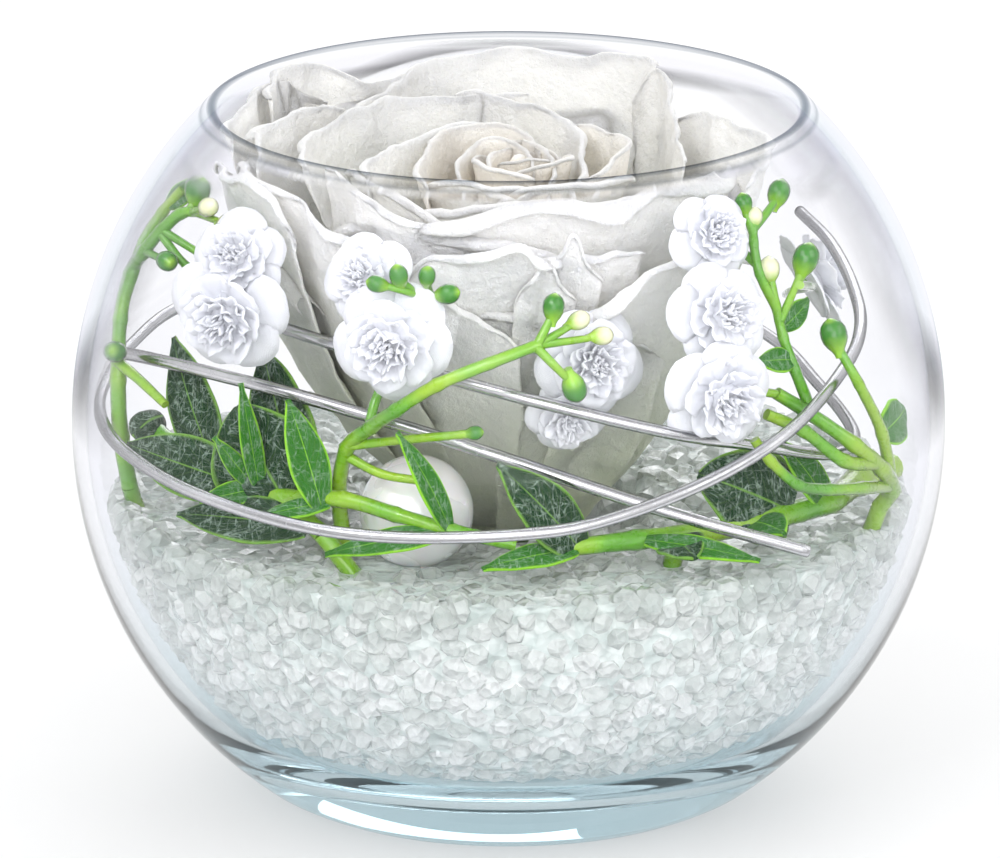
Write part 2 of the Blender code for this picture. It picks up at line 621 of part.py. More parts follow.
# Baby's-breath sprays: stems as above, buds as (place, direction, radius)
LEFT_SPRAY_FOOT = ([at(-49.5, -4.5, 35.0), at(-51.8, -7.5, 44.5)], 0.0012, 0.0012)
LEFT_SPRAY_STEMS = [
    ([at(-51.8, -7.5, 44.5), at(-52.8, -8.6, 52.0), at(-53.0, -8.8, 60.0),
      at(-52.6, -7.0, 68.0), at(-51.2, -5.5, 74.0), at(-49.2, -8.0, 77.6), at(-46.8, -9.8, 81.0),
      at(-44.0, -10.8, 83.8), at(-41.6, -12.2, 84.4)], 0.0012, 0.0007),
    ([at(-51.9, -6.2, 71.5), at(-49.2, -5.6, 78.5), at(-46.6, -6.2, 82.8), at(-43.9, -7.2, 86.2)],
     0.0009, 0.0006),
    ([at(-53.0, -8.8, 62.5), at(-50.0, -12.5, 61.0), at(-46.4, -17.0, 58.8)], 0.0008, 0.0006),
    ([at(-43.2, -11.2, 84.0), at(-42.0, -10.6, 85.8)], 0.0006, 0.0005),
    ([at(-42.4, -11.9, 84.3), at(-40.9, -15.0, 85.6)], 0.0006, 0.0005),
    ([at(-42.0, -12.2, 84.3), at(-38.2, -18.0, 84.4)], 0.0006, 0.0005),
    ([at(-49.0, -8.2, 77.8), at(-46.5, -12.8, 77.9)], 0.0006, 0.0005),
    ([at(-46.6, -10.0, 81.2), at(-41.0, -14.0, 78.8), at(-36.6, -18.6, 78.2), at(-33.6, -21.4, 77.6)],
     0.0006, 0.0005),
]
LEFT_SPRAY_BUDS = [
    (at(-41.8, -10.2, 87.0), Vector((0.2, 0.1, 1.0)), 0.0017),
    (at(-40.2, -16.0, 86.1), Vector((0.4, -0.6, 0.4)), 0.0013),
    (at(-37.2, -19.4, 84.4), Vector((0.6, -0.8, 0.1)), 0.0017),
    (at(-45.9, -14.0, 78.0), Vector((0.4, -1.0, 0.1)), 0.0014),
    (at(-32.9, -22.4, 77.4), Vector((0.6, -0.9, -0.2)), 0.0014),
    (at(-53.2, -9.9, 64.2), Vector((-0.2, -1.0, 0.4)), 0.0015),
]
LEFT_SPRAY_LEAVES = [
    (at(-45.8, -6.6, 83.6), at(-41.3, -6.9, 88.0), Vector((-0.6, -1.0, 0.1)), 0.0028, 0.02, 0.15),
]
CENTRE_SPRAY_FOOT = ([at(-21.5, -29.5, 35.0), at(-22.3, -31.5, 44.5)], 0.0011, 0.0011)
CENTRE_SPRAY_STEMS = [
    ([at(-22.3, -31.5, 44.5), at(-22.8, -32.4, 51.0), at(-21.6, -36.2, 58.3),
      at(-18.3, -40.5, 62.4), at(-14.9, -44.8, 66.0), at(-9.4, -47.3, 70.2), at(-2.5, -47.5, 73.2),
      at(4.3, -46.5, 75.6)], 0.0011, 0.0008),
    ([at(3.8, -46.6, 75.4), at(5.8, -45.2, 79.2)], 0.0007, 0.0005),
    ([at(4.0, -46.5, 75.5), at(8.6, -43.2, 77.4)], 0.0006, 0.0005),
    ([at(4.2, -46.3, 75.4), at(11.6, -42.2, 75.3)], 0.0006, 0.0005),
    ([at(3.6, -46.7, 75.3), at(6.4, -47.2, 72.5), at(8.2, -46.4, 70.4)], 0.0007, 0.0005),
    ([at(-21.0, -37.2, 58.9), at(-14.0, -40.5, 60.6), at(-5.2, -42.4, 62.0)], 0.0007, 0.0006),
    ([at(-21.9, -35.4, 57.0), at(-17.0, -38.2, 55.2), at(-11.6, -40.2, 54.8)], 0.0007, 0.0006),
    ([at(-18.9, -39.8, 61.6), at(-17.0, -37.2, 67.0), at(-12.0, -36.8, 74.0), at(-10.2, -39.4, 80.0)],
     0.0007, 0.0006),
    ([at(-10.4, -39.2, 79.6), at(-13.6, -43.2, 81.9), at(-16.8, -43.6, 82.9)], 0.0006, 0.0005),
    ([at(-12.2, -41.6, 81.0), at(-14.2, -43.4, 83.4)], 0.0006, 0.0005),
    ([at(-10.3, -39.4, 79.9), at(-10.9, -42.2, 83.2)], 0.0006, 0.0005),
    ([at(-10.3, -39.3, 79.7), at(-8.4, -42.4, 81.2)], 0.0006, 0.0005),
]
CENTRE_SPRAY_BUDS = [
    (at(6.0, -44.8, 80.4), Vector((0.1, 0.2, 1.0)), 0.0015),
    (at(9.5, -42.8, 77.9), Vector((1.0, 0.4, 0.4)), 0.0013),
    (at(12.6, -41.8, 75.4), Vector((1.0, 0.4, 0.0)), 0.0013),
    (at(8.8, -46.0, 69.2), Vector((0.3, 0.2, -1.0)), 0.0017),
    (at(-4.4, -42.6, 62.2), Vector((1.0, -0.2, 0.2)), 0.0010),
    (at(-10.9, -40.4, 54.7), Vector((1.0, -0.3, 0.0)), 0.0010),
    (at(-17.6, -43.7, 83.1), Vector((-1.0, -0.1, 0.3)), 0.0012),
    (at(-14.6, -43.5, 84.3), Vector((-0.2, -0.1, 1.0)), 0.0013),
    (at(-10.8, -42.7, 84.0), Vector((0.1, -0.3, 1.0)), 0.0012),
    (at(-7.9, -42.9, 81.5), Vector((1.0, -0.4, 0.3)), 0.0014),
]
RIGHT_SPRAY_FOOT = ([at(47.5, -16.5, 36.0), at(50.2, -17.5, 44.5)], 0.0012, 0.0012)
RIGHT_SPRAY_STEMS = [
    ([at(50.2, -17.5, 44.5), at(51.6, -19.0, 47.5), at(50.0, -23.5, 51.8),
      at(46.2, -28.2, 56.5), at(40.0, -30.0, 61.5), at(35.9, -31.8, 64.6)], 0.0012, 0.0009),
    ([at(49.6, -24.2, 52.6), at(45.0, -29.8, 54.6), at(39.5, -32.6, 59.6), at(34.5, -35.0, 62.6)],
     0.0010, 0.0008),
    ([at(51.6, -19.2, 48.0), at(47.5, -27.0, 50.0), at(42.8, -32.5, 51.4), at(38.7, -36.5, 53.2),
      at(35.0, -39.0, 57.2), at(32.8, -39.6, 60.4)], 0.0009, 0.0007),
    ([at(51.6, -19.4, 48.0), at(50.0, -24.6, 57.0), at(46.8, -29.0, 65.0), at(43.8, -28.4, 70.4)],
     0.0009, 0.0006),
    ([at(40.8, -29.3, 60.9), at(38.3, -29.5, 67.4), at(36.8, -28.0, 71.4), at(35.8, -27.5, 75.6),
      at(35.0, -26.8, 79.6)], 0.0008, 0.0006),
    ([at(36.4, -27.8, 73.5), at(38.4, -25.5, 77.6), at(39.4, -24.0, 80.0)], 0.0006, 0.0005),
    ([at(36.0, -27.6, 75.0), at(33.6, -27.4, 80.0), at(32.8, -26.2, 84.0), at(32.8, -24.8, 86.6)],
     0.0007, 0.0006),
    ([at(32.8, -25.8, 84.8), at(31.6, -24.6, 88.0)], 0.0006, 0.0005),
    ([at(32.8, -25.4, 85.6), at(34.8, -22.4, 87.4), at(35.9, -20.4, 88.6)], 0.0006, 0.0005),
]
RIGHT_SPRAY_BUDS = [
    (at(43.4, -28.1, 71.9), Vector((-0.3, 0.2, 1.0)), 0.0018),
    (at(34.9, -26.6, 80.6), Vector((-0.1, 0.1, 1.0)), 0.0014),
    (at(39.8, -23.6, 81.2), Vector((0.3, 0.3, 1.0)), 0.0018),
    (at(31.4, -24.3, 89.0), Vector((-0.2, 0.2, 1.0)), 0.0012),
    (at(36.2, -19.9, 89.3), Vector((0.3, 0.4, 1.0)), 0.0015),
    (at(32.9, -24.6, 87.2), Vector((0.1, 0.2, 1.0)), 0.0011),
]
RIGHT_SPRAY_LEAVES = [
    (at(50.0, -24.4, 57.0), at(53.2, -14.5, 57.6), Vector((0.8, -1.0, 0.3)), 0.0060, 0.03, 0.15),
    (at(38.0, -29.2, 68.4), at(33.0, -33.5, 69.4), Vector((0.2, -1.0, 0.6)), 0.0036, 0.05, 0.15),
    (at(36.6, -27.6, 72.5), at(40.2, -22.0, 75.0), Vector((0.6, -1.0, 0.2)), 0.0034, 0.05, 0.15),
]

# Blossom clusters: (centre, axis, radius) of each blossom; the first one sits on its stem's end
BLOSSOMS = {
    "blossoms_left": [
        (at(-37.6, -25.8, 74.0), Vector((-0.45, -1.0, -0.1)), 0.0068),
        (at(-36.2, -24.0, 81.4), Vector((-0.35, -1.0, 0.5)), 0.0054),
    ],
    "blossoms_centre": [
        (at(-15.6, -42.6, 74.8), Vector((-0.25, -1.0, -0.05)), 0.0068),
        (at(-19.0, -36.2, 81.8), Vector((-0.4, -1.0, 0.6)), 0.0052),
    ],
    "blossoms_front_right": [
        (at(11.2, -35.6, 70.0), Vector((0.25, -1.0, 0.1)), 0.0062),
        (at(7.8, -34.6, 62.2), Vector((0.1, -1.0, -0.3)), 0.0046),
    ],
    "blossoms_right": [
        (at(28.2, -39.8, 66.6), Vector((0.45, -1.0, -0.1)), 0.0066),
        (at(28.4, -36.0, 76.6), Vector((0.5, -1.0, 0.3)), 0.0060),
    ],
    "blossom_upper_right": [
        (at(27.2, -29.4, 85.8), Vector((0.5, -1.0, 0.5)), 0.0050),
    ],
    "blossom_far_right": [
        (at(42.0, 12.0, 68.6), Vector((0.8, 0.3, 0.4)), 0.0062),
    ],
}
BLOSSOM_PETALS = 5
# whorls from the stem outward: reach share, tilt in degrees, turn in petals
BLOSSOM_WHORLS = [(1.00, 4, 0.0), (0.84, 30, 0.5), (0.62, 60, 0.0)]
# one petal's rim: turn as a share of its sector, reach share and ruffle share
PETAL_RIM = [(-0.5, 0.52, 0.0), (-0.27, 0.98, 0.12), (0.27, 1.0, -0.02)]
WAIST_SHARE = 0.20
STALK_RADIUS = 0.0008
SOCKET_GAP = 0.0004

# Wire routes
SPIRAL_ROUTE = [
    at(40.5, 20.0, 76.2), at(44.2, 6.0, 75.4), at(46.8, -6.0, 72.4), at(47.4, -16.5, 69.4),
    at(44.8, -26.0, 66.2), at(37.3, -40.6, 61.8), at(26.3, -49.2, 57.3), at(12.6, -54.6, 53.5), at(1.6, -56.2, 52.1),
    at(-14.8, -53.8, 51.0), at(-28.4, -48.2, 51.1), at(-42.1, -36.9, 52.3), at(-51.6, -21.6, 53.7),
    at(-55.8, -5.5, 55.0), at(-55.2, 7.5, 56.5), at(-52.7, 17.8, 57.8), at(-46.0, 30.9, 59.6),
    at(-30.0, 46.2, 60.2), at(-10.0, 53.5, 59.4), at(10.0, 52.8, 58.4), at(27.0, 42.5, 57.2),
    at(37.5, 25.0, 56.0), at(42.5, 8.0, 55.0), at(46.0, -8.0, 54.4), at(46.8, -17.0, 53.8),
    at(44.2, -24.0, 54.0), at(39.8, -28.5, 55.4),
    at(33.0, -34.5, 58.2), at(22.5, -40.6, 61.4), at(7.1, -41.0, 65.2), at(-5.3, -38.0, 67.7),
    at(-23.1, -28.5, 70.4), at(-32.8, -11.0, 68.8), at(-36.0, 6.0, 66.0),
]
BAR_ROUTE = [
    at(-54.6, 0.0, 61.7), at(-47.5, -10.5, 63.2), at(-38.5, -20.5, 63.8), at(-28.6, -28.0, 63.3),
    at(-8.0, -36.2, 59.3), at(12.6, -39.6, 53.2), at(26.3, -40.4, 49.0), at(40.1, -39.0, 44.7),
]


def make_sprig(name, stems, leaves, finish, buds=(), nubs=()):
    """One leafy or budding stem with everything that grows from it."""
    shapes = [stem(points, radius, tip) for points, radius, tip in stems]
    shapes += [bud(*each) for each in buds]
    shapes += [leaf(*each) for each in leaves]
    shapes += list(nubs)
    return union(name, shapes, finish)


def blossom_shape(centre, axis, radius):
    """One fabric blossom as one closed sheet: whorls of ruffled petals, cut deep between, on a slim core."""
    axis = axis.normalized()
    side = axis.cross(Vector((0, 0, 1))).normalized()
    up = side.cross(axis)
    half = BLOSSOM_PETAL_THICKNESS / 2
    bm = bmesh.new()
    rings = []
    for level, (share, tilt, turn) in enumerate(BLOSSOM_WHORLS):
        lift = math.radians(tilt)
        hub = centre + axis * radius * 0.12 * level
        for sign in (-1, 1):
            ring = []
            for k in range(BLOSSOM_PETALS):
                for place, reach, ruffle in PETAL_RIM:
                    angle = math.tau * (k + turn + place) / BLOSSOM_PETALS
                    away = side * math.cos(angle) + up * math.sin(angle)
                    out = away * math.cos(lift) + axis * (math.sin(lift) + ruffle)
                    normal = axis * math.cos(lift) - away * math.sin(lift)
                    ring.append(bm.verts.new(hub + out * radius * share * reach + normal * half * sign))
            rings.append(ring)
        if level < len(BLOSSOM_WHORLS) - 1:
            waist = []
            for i in range(len(ring)):
                angle = math.tau * ((i - 1.5) / len(PETAL_RIM) + turn + 0.25) / BLOSSOM_PETALS
                away = side * math.cos(angle) + up * math.sin(angle)
                waist.append(bm.verts.new(hub + axis * radius * 0.12 + away * radius * WAIST_SHARE))
            rings.append(waist)
    bottom = bm.verts.new(centre - axis * half)
    crown = bm.verts.new(hub + axis * radius * 0.2)
    for low, high in zip(rings, rings[1:]):
        for i in range(len(low)):
            k = (i + 1) % len(low)
            bm.faces.new((low[i], low[k], high[i]))
            bm.faces.new((low[k], high[k], high[i]))
    for i in range(len(rings[0])):
        k = (i + 1) % len(rings[0])
        bm.faces.new((rings[0][k], rings[0][i], bottom))
        bm.faces.new((rings[-1][i], rings[-1][k], crown))
    return bm


def make_blossoms(name):
    """A cluster of blossoms that hold together, joined core to core by a short stalk."""
    shapes = []
    cluster = BLOSSOMS[name]
    for blossom in cluster:
        shapes.append(blossom_shape(*blossom))
    for (near, near_axis, _), (far, far_axis, _) in zip(cluster, cluster[1:]):
        ends = [near + near_axis.normalized() * STALK_RADIUS, far + far_axis.normalized() * STALK_RADIUS]
        shapes.append(stem(ends, STALK_RADIUS, sides=5, step=1.0))
    return union(name, shapes, "blossom")


def blossom_socket(name):
    """Place just behind a cluster's first blossom, where its stem ends."""
    centre, axis, _ = BLOSSOMS[name][0]
    return centre - axis.normalized() * (BLOSSOM_PETAL_THICKNESS / 2 + SOCKET_GAP)


def branch_to(name, start, via, radius=0.0006):
    """A side branch that runs from a stem to the back of a blossom."""
    centre, axis, _ = BLOSSOMS[name][0]
    end = blossom_socket(name)
    return [start, *via, end - axis.normalized() * 0.0035, end], radius, radius * 0.85


def make_sprays():
    """The three baby's-breath sprays, each with a branch to every blossom cluster that it carries."""
    left = [LEFT_SPRAY_FOOT, *LEFT_SPRAY_STEMS,
            branch_to("blossoms_left", at(-47.0, -9.8, 80.8), [at(-43.0, -14.0, 77.0)])]
    front_route = [at(1.5, -39.0, 72.5), at(5.5, -33.6, 71.0)]
    centre = [CENTRE_SPRAY_FOOT, *CENTRE_SPRAY_STEMS,
              branch_to("blossoms_centre", at(-13.5, -36.9, 72.0), []),
              branch_to("blossoms_front_right", at(-2.5, -47.4, 73.1), front_route)]
    far_route = [at(41.0, -12.0, 74.0), at(38.5, 0.0, 70.0)]
    right = [RIGHT_SPRAY_FOOT, *RIGHT_SPRAY_STEMS,
             branch_to("blossoms_right", at(35.9, -31.8, 64.5), [at(31.0, -34.5, 66.0)]),
             branch_to("blossom_upper_right", at(33.4, -27.2, 81.0), [at(30.5, -25.4, 83.0)]),
             branch_to("blossom_far_right", at(39.0, -26.0, 78.0), far_route)]
    make_sprig("spray_left", left, LEFT_SPRAY_LEAVES, "bright_stem", LEFT_SPRAY_BUDS)
    make_sprig("spray_centre", centre, [], "bright_stem", CENTRE_SPRAY_BUDS)
    make_sprig("spray_right", right, RIGHT_SPRAY_LEAVES, "bright_stem", RIGHT_SPRAY_BUDS)


def make_wire(name, route, radius):
    """A formed round wire with square-cut ends."""
    points = smooth_route(route, WIRE_STEP)
    curve = bpy.data.curves.new(name, "CURVE")
    curve.dimensions = "3D"
    curve.bevel_depth = radius
    curve.bevel_resolution = 2
    curve.use_fill_caps = True
    spline = curve.splines.new("POLY")
    spline.points.add(len(points) - 1)
    for knot, place in zip(spline.points, points):
        knot.co = (*place, 1.0)
    curve.materials.append(finish_material("wire"))
    wire = bpy.data.objects.new(name, curve)
    bpy.context.scene.collection.objects.link(wire)
    return wire


def make_pearl():
    bm = bmesh.new()
    bmesh.ops.create_uvsphere(bm, u_segments=14, v_segments=9, radius=PEARL_RADIUS)
    bmesh.ops.translate(bm, verts=bm.verts, vec=Vector(PEARL_CENTRE))
    return add_piece("pearl", bm, "pearl", 60)


def make_pearl_seat(bed):
    """The hollow that the pearl has pressed into the filling."""
    bm = bmesh.new()
    bmesh.ops.create_uvsphere(bm, u_segments=12, v_segments=8, radius=PEARL_RADIUS + HOLE_CLEARANCE * 1.5)
    bmesh.ops.translate(bm, verts=bm.verts, vec=Vector(PEARL_CENTRE))
    cut_away(bed, add_piece("pearl_seat", bm, "granules"))


def main():
    clear_scene()
    make_globe()
    make_granules([LEFT_SPRIG_FOOT, RIGHT_SPRIG_FOOT, LEFT_SPRAY_FOOT, CENTRE_SPRAY_FOOT, RIGHT_SPRAY_FOOT])
    make_bloom()
    make_calyx()
    nub = stem(LEFT_SPRIG_NUB, NUB_RADIUS, sides=7, step=1.0)
    left_stems = [LEFT_SPRIG_FOOT, *LEFT_SPRIG_STEMS]
    right_stems = [RIGHT_SPRIG_FOOT, *RIGHT_SPRIG_STEMS]
    make_sprig("leaf_sprig_left", left_stems, LEFT_SPRIG_LEAVES, "waxy_leaf", nubs=[nub])
    make_sprig("leaf_sprig_right", right_stems, RIGHT_SPRIG_LEAVES, "waxy_leaf")
    make_sprays()
    for name in BLOSSOMS:
        make_blossoms(name)
    make_wire("wire_spiral", SPIRAL_ROUTE, WIRE_RADIUS)
    make_wire("wire_bar", BAR_ROUTE, BAR_RADIUS)
    make_pearl()


main()
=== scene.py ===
"""Finished looks of a preserved white rose with baby's breath and waxy leaves in a glass globe of granules.

Sizes are in metres unless a place is written through at(), which takes millimetres.
+Z is up, the front is -Y, and the origin is the middle of the globe's base.
"""
import math
import random

import bmesh
import bpy
from bpy.props import BoolProperty, FloatProperty, FloatVectorProperty, IntProperty, PointerProperty
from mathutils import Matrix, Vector, noise


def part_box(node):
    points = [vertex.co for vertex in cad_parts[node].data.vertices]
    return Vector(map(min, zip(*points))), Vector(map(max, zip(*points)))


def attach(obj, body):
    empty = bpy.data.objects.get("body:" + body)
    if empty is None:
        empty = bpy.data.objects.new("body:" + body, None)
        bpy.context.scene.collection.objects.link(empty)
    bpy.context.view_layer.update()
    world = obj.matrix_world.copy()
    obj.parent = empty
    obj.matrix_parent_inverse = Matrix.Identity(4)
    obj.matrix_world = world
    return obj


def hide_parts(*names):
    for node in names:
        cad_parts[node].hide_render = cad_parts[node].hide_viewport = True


bl_info = {
    "name": "Preserved rose in glass globe",
    "version": (1, 0, 0),
    "blender": (4, 5, 0),
    "location": "3D View > Sidebar > Rose globe",
    "description": "Builds the finished looks of a preserved rose arrangement in a glass globe",
    "category": "Object",
}

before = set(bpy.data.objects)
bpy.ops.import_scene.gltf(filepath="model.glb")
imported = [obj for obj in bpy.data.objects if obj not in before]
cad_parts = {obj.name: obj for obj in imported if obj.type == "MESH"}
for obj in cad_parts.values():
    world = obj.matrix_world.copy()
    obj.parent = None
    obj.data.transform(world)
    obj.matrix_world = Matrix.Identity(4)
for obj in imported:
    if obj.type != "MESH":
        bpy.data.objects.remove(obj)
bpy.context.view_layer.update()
GLOBE_LOW, GLOBE_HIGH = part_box("glass_globe")
PEARL_LOW, PEARL_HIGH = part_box("pearl")

PATTERN = "pattern"
GRAIN = "milkiness"


def at(x, y, z):
    """A place given in millimetres."""
    return Vector((x, y, z)) * 0.001


# ---------------------------------------------------------------- settings

class BowlSettings(bpy.types.PropertyGroup):
    """Sizes of the glass globe and its filling."""
    equator: FloatProperty(name="Widest height", description="Height of the globe's widest ring",
                           default=0.0517, unit="LENGTH")
    upper_axis: FloatProperty(name="Upper half", description="Upper half axis of the globe's curve",
                              default=0.0613, unit="LENGTH")
    lower_axis: FloatProperty(name="Lower half", description="Lower half axis of the globe's curve",
                              default=0.0608, unit="LENGTH")
    base_radius: FloatProperty(name="Base radius", description="Radius of the flat base",
                               default=0.031, unit="LENGTH")
    wall: FloatProperty(name="Wall", description="Glass thickness from the widest ring up",
                        default=0.0020, unit="LENGTH")
    wall_at_floor: FloatProperty(name="Wall at floor", description="Glass thickness near the floor",
                                 default=0.0036, unit="LENGTH")
    floor_height: FloatProperty(name="Floor height", description="Height of the inner floor",
                                default=0.0078, unit="LENGTH")
    floor_corner: FloatProperty(name="Floor corner", description="Radius between the wall and the floor",
                                default=0.022, unit="LENGTH")
    lip_radius: FloatProperty(name="Lip radius", description="Radius of the rounded lip",
                              default=0.0010, unit="LENGTH")
    tint: FloatVectorProperty(name="Glass tint", description="Colour that thick glass takes",
                              default=(0.45, 0.66, 0.74), subtype="COLOR", size=3)
    tint_density: FloatProperty(name="Tint density", description="How strongly thick glass is tinted",
                                default=9.0, min=0.0)
    clarity: FloatProperty(name="Clarity", description="Share of light that passes the lip unbent",
                           default=1.0, min=0.0, max=1.0)


class GranuleSettings(bpy.types.PropertyGroup):
    """The loose glass granules."""
    level: FloatProperty(name="Level", description="Height that the filling reaches",
                         default=0.0423, unit="LENGTH")
    size: FloatProperty(name="Size", description="Usual width of one granule", default=0.0045, unit="LENGTH")
    spread: FloatProperty(name="Spread", description="How much one granule differs from the next",
                          default=0.16, min=0.0, max=0.5)
    gap: FloatProperty(name="Spacing", description="Smallest distance between two granules",
                       default=0.0027, unit="LENGTH")
    seed: IntProperty(name="Seed", description="Seed of the scatter", default=7)
    milky: FloatVectorProperty(name="Milky granules", description="Colour of the milky granules",
                               default=(0.99, 0.99, 0.99), subtype="COLOR", size=3)
    clearness: FloatProperty(name="Clearness", description="How far one sees through a granule",
                             default=0.55, min=0.0, max=1.0)
    clear: FloatVectorProperty(name="Clear granules", description="Colour of the clear granules",
                               default=(0.945, 0.955, 0.945), subtype="COLOR", size=3)


class FlowerSettings(bpy.types.PropertyGroup):
    """The rose and the fabric blossoms."""
    petal_thickness: FloatProperty(name="Petal thickness", description="Thickness of a rose petal",
                                   default=0.00045, unit="LENGTH")
    petal_colour: FloatVectorProperty(name="Petal", description="Ivory of the petals",
                                      default=(0.95, 0.94, 0.915), subtype="COLOR", size=3)
    base_colour: FloatVectorProperty(name="Petal base", description="Greenish beige near a petal's root",
                                     default=(0.80, 0.83, 0.70), subtype="COLOR", size=3)
    # The heart's colour is partly its own cream and partly painted shade deep in the heart.
    heart_colour: FloatVectorProperty(name="Heart", description="Warm cream of the rose's heart",
                                      default=(0.76, 0.66, 0.53), subtype="COLOR", size=3)
    fabric_thickness: FloatProperty(name="Fabric thickness", description="Thickness of a blossom's petal",
                                    default=0.0003, unit="LENGTH")
    fabric_colour: FloatVectorProperty(name="Fabric", description="White of the fabric blossoms",
                                       default=(0.80, 0.81, 0.845), subtype="COLOR", size=3)


class FoliageSettings(bpy.types.PropertyGroup):
    """Leaves, stems and buds."""
    leaf_thickness: FloatProperty(name="Leaf thickness", description="Thickness of a waxy leaf",
                                  default=0.0007, unit="LENGTH")
    leaf_colour: FloatVectorProperty(name="Waxy leaf", description="Dark green of the broad leaves",
                                     default=(0.006, 0.034, 0.009), subtype="COLOR", size=3)
    bright_colour: FloatVectorProperty(name="Bright green", description="Green of stems and small leaves",
                                       default=(0.12, 0.38, 0.008), subtype="COLOR", size=3)
    cream_colour: FloatVectorProperty(name="Cream bud", description="Colour of the pale buds",
                                      default=(0.78, 0.80, 0.50), subtype="COLOR", size=3)


class MetalSettings(bpy.types.PropertyGroup):
    """The formed wires and the pearl."""
    wire_radius: FloatProperty(name="Spiral wire", description="Radius of the spiral wire",
                               default=0.00085, unit="LENGTH")
    bar_radius: FloatProperty(name="Straight wire", description="Radius of the straight wire",
                              default=0.0009, unit="LENGTH")
    wire_colour: FloatVectorProperty(name="Aluminium", description="Colour of the bright wire",
                                     default=(0.80, 0.80, 0.81), subtype="COLOR", size=3)
    pearl_colour: FloatVectorProperty(name="Pearl", description="Colour of the pearl",
                                      default=(0.96, 0.955, 0.95), subtype="COLOR", size=3)
    pearl_bore: FloatProperty(name="Pearl bore", description="Radius of the pearl's thread hole",
                              default=0.0006, unit="LENGTH")


class StageSettings(bpy.types.PropertyGroup):
    """Floor, light and camera."""
    key_power: FloatProperty(name="Key light", description="Power of the large key light", default=7.5)
    fill_power: FloatProperty(name="Fill light", description="Power of the fill light", default=6.0)
    back_power: FloatProperty(name="Back light", description="Power of the light from behind", default=8.5)
    front_power: FloatProperty(name="Front light", description="Power of the low light in front", default=19.0)
    glint_power: FloatProperty(name="Glint light", description="Power of the small light for highlights",
                               default=2.2)
    sky: FloatProperty(name="Surround", description="Brightness of the pale surroundings", default=0.95)
    distance: FloatProperty(name="Camera distance", description="Camera to the middle of the globe",
                            default=1.8, unit="LENGTH")
    elevation: FloatProperty(name="Camera elevation", description="Camera's height angle",
                             default=math.radians(16.05), subtype="ANGLE")
    lens: FloatProperty(name="Lens", description="Focal length", default=471.7, subtype="DISTANCE_CAMERA")
    soft: BoolProperty(name="Soft light", description="Use large light panels", default=True)


# ---------------------------------------------------------------- node helpers

def add(tree, kind, settings=None, values=None):
    """Add a node, set its settings, and give sockets, by identifier or index, a value or a link."""
    node = tree.nodes.new(kind)
    for key, value in (settings or {}).items():
        setattr(node, key, value)
    for key, value in (values or {}).items():
        target = node.inputs[key] if isinstance(key, int) else next(
            s for s in node.inputs if s.identifier == key)
        if isinstance(value, bpy.types.NodeSocket):
            tree.links.new(value, target)
        else:
            target.default_value = value
    return node


def maths(tree, operation, first, second=0.0, clamp=False):
    """Output of one Math node."""
    return add(tree, "ShaderNodeMath", {"operation": operation, "use_clamp": clamp},
               {0: first, 1: second}).outputs[0]


def blotch(tree, coords, scale, detail=3.0, rough=0.55, stretch=None):
    """Noise over coordinates, stretched along some axes if wanted."""
    if stretch:
        coords = add(tree, "ShaderNodeMapping", values={"Vector": coords, "Scale": stretch}).outputs[0]
    return add(tree, "ShaderNodeTexNoise", values={
        "Vector": coords, "Scale": scale, "Detail": detail, "Roughness": rough}).outputs[0]


def ramp(tree, factor, stops):
    """A colour or grey ramp from (place, value) stops."""
    node = add(tree, "ShaderNodeValToRGB", values={0: factor})
    points = node.color_ramp.elements
    while len(points) < len(stops):
        points.new(1.0)
    for point, (place, value) in zip(points, stops):
        point.position = place
        point.color = (value, value, value, 1.0) if isinstance(value, float) else (*value, 1.0)
    return node.outputs[0]


def blend(tree, factor, first, second, mode="MIX"):
    """Mix two colours."""
    colours = [c if isinstance(c, bpy.types.NodeSocket) else (*c, 1.0) for c in (first, second)]
    node = add(tree, "ShaderNodeMix", {"data_type": "RGBA", "blend_type": mode},
               {"Factor_Float": factor, "A_Color": colours[0], "B_Color": colours[1]})
    return next(o for o in node.outputs if o.identifier == "Result_Color")


def relief(tree, height, strength, depth, normal=None):
    """A Bump node's normal."""
    values = {"Height": height, "Strength": strength, "Distance": depth}
    if normal:
        values["Normal"] = normal
    return add(tree, "ShaderNodeBump", values=values).outputs[0]


def new_finish(name, **uniform):
    """A material with a Principled shader whose uniform sockets are set; returns it, its tree and shader."""
    material = bpy.data.materials.new(name)
    material.use_nodes = True
    tree = material.node_tree
    shader = tree.nodes["Principled BSDF"]
    for key, value in uniform.items():
        shader.inputs[key.replace("_", " ")].default_value = value
    return material, tree, shader


def put(tree, shader, **links):
    """Link sockets to the shader by name."""
    for key, socket in links.items():
        tree.links.new(socket, shader.inputs[key.replace("_", " ")])


def places(tree):
    """Object coordinates."""
    return add(tree, "ShaderNodeTexCoord").outputs["Object"]


def pattern(tree):
    """The piece's own pattern coordinates, split: all, across and along."""
    uv = add(tree, "ShaderNodeUVMap", {"uv_map": PATTERN}).outputs[0]
    parts = add(tree, "ShaderNodeSeparateXYZ", values={0: uv})
    return uv, parts.outputs[0], parts.outputs[1]


# ---------------------------------------------------------------- finishes

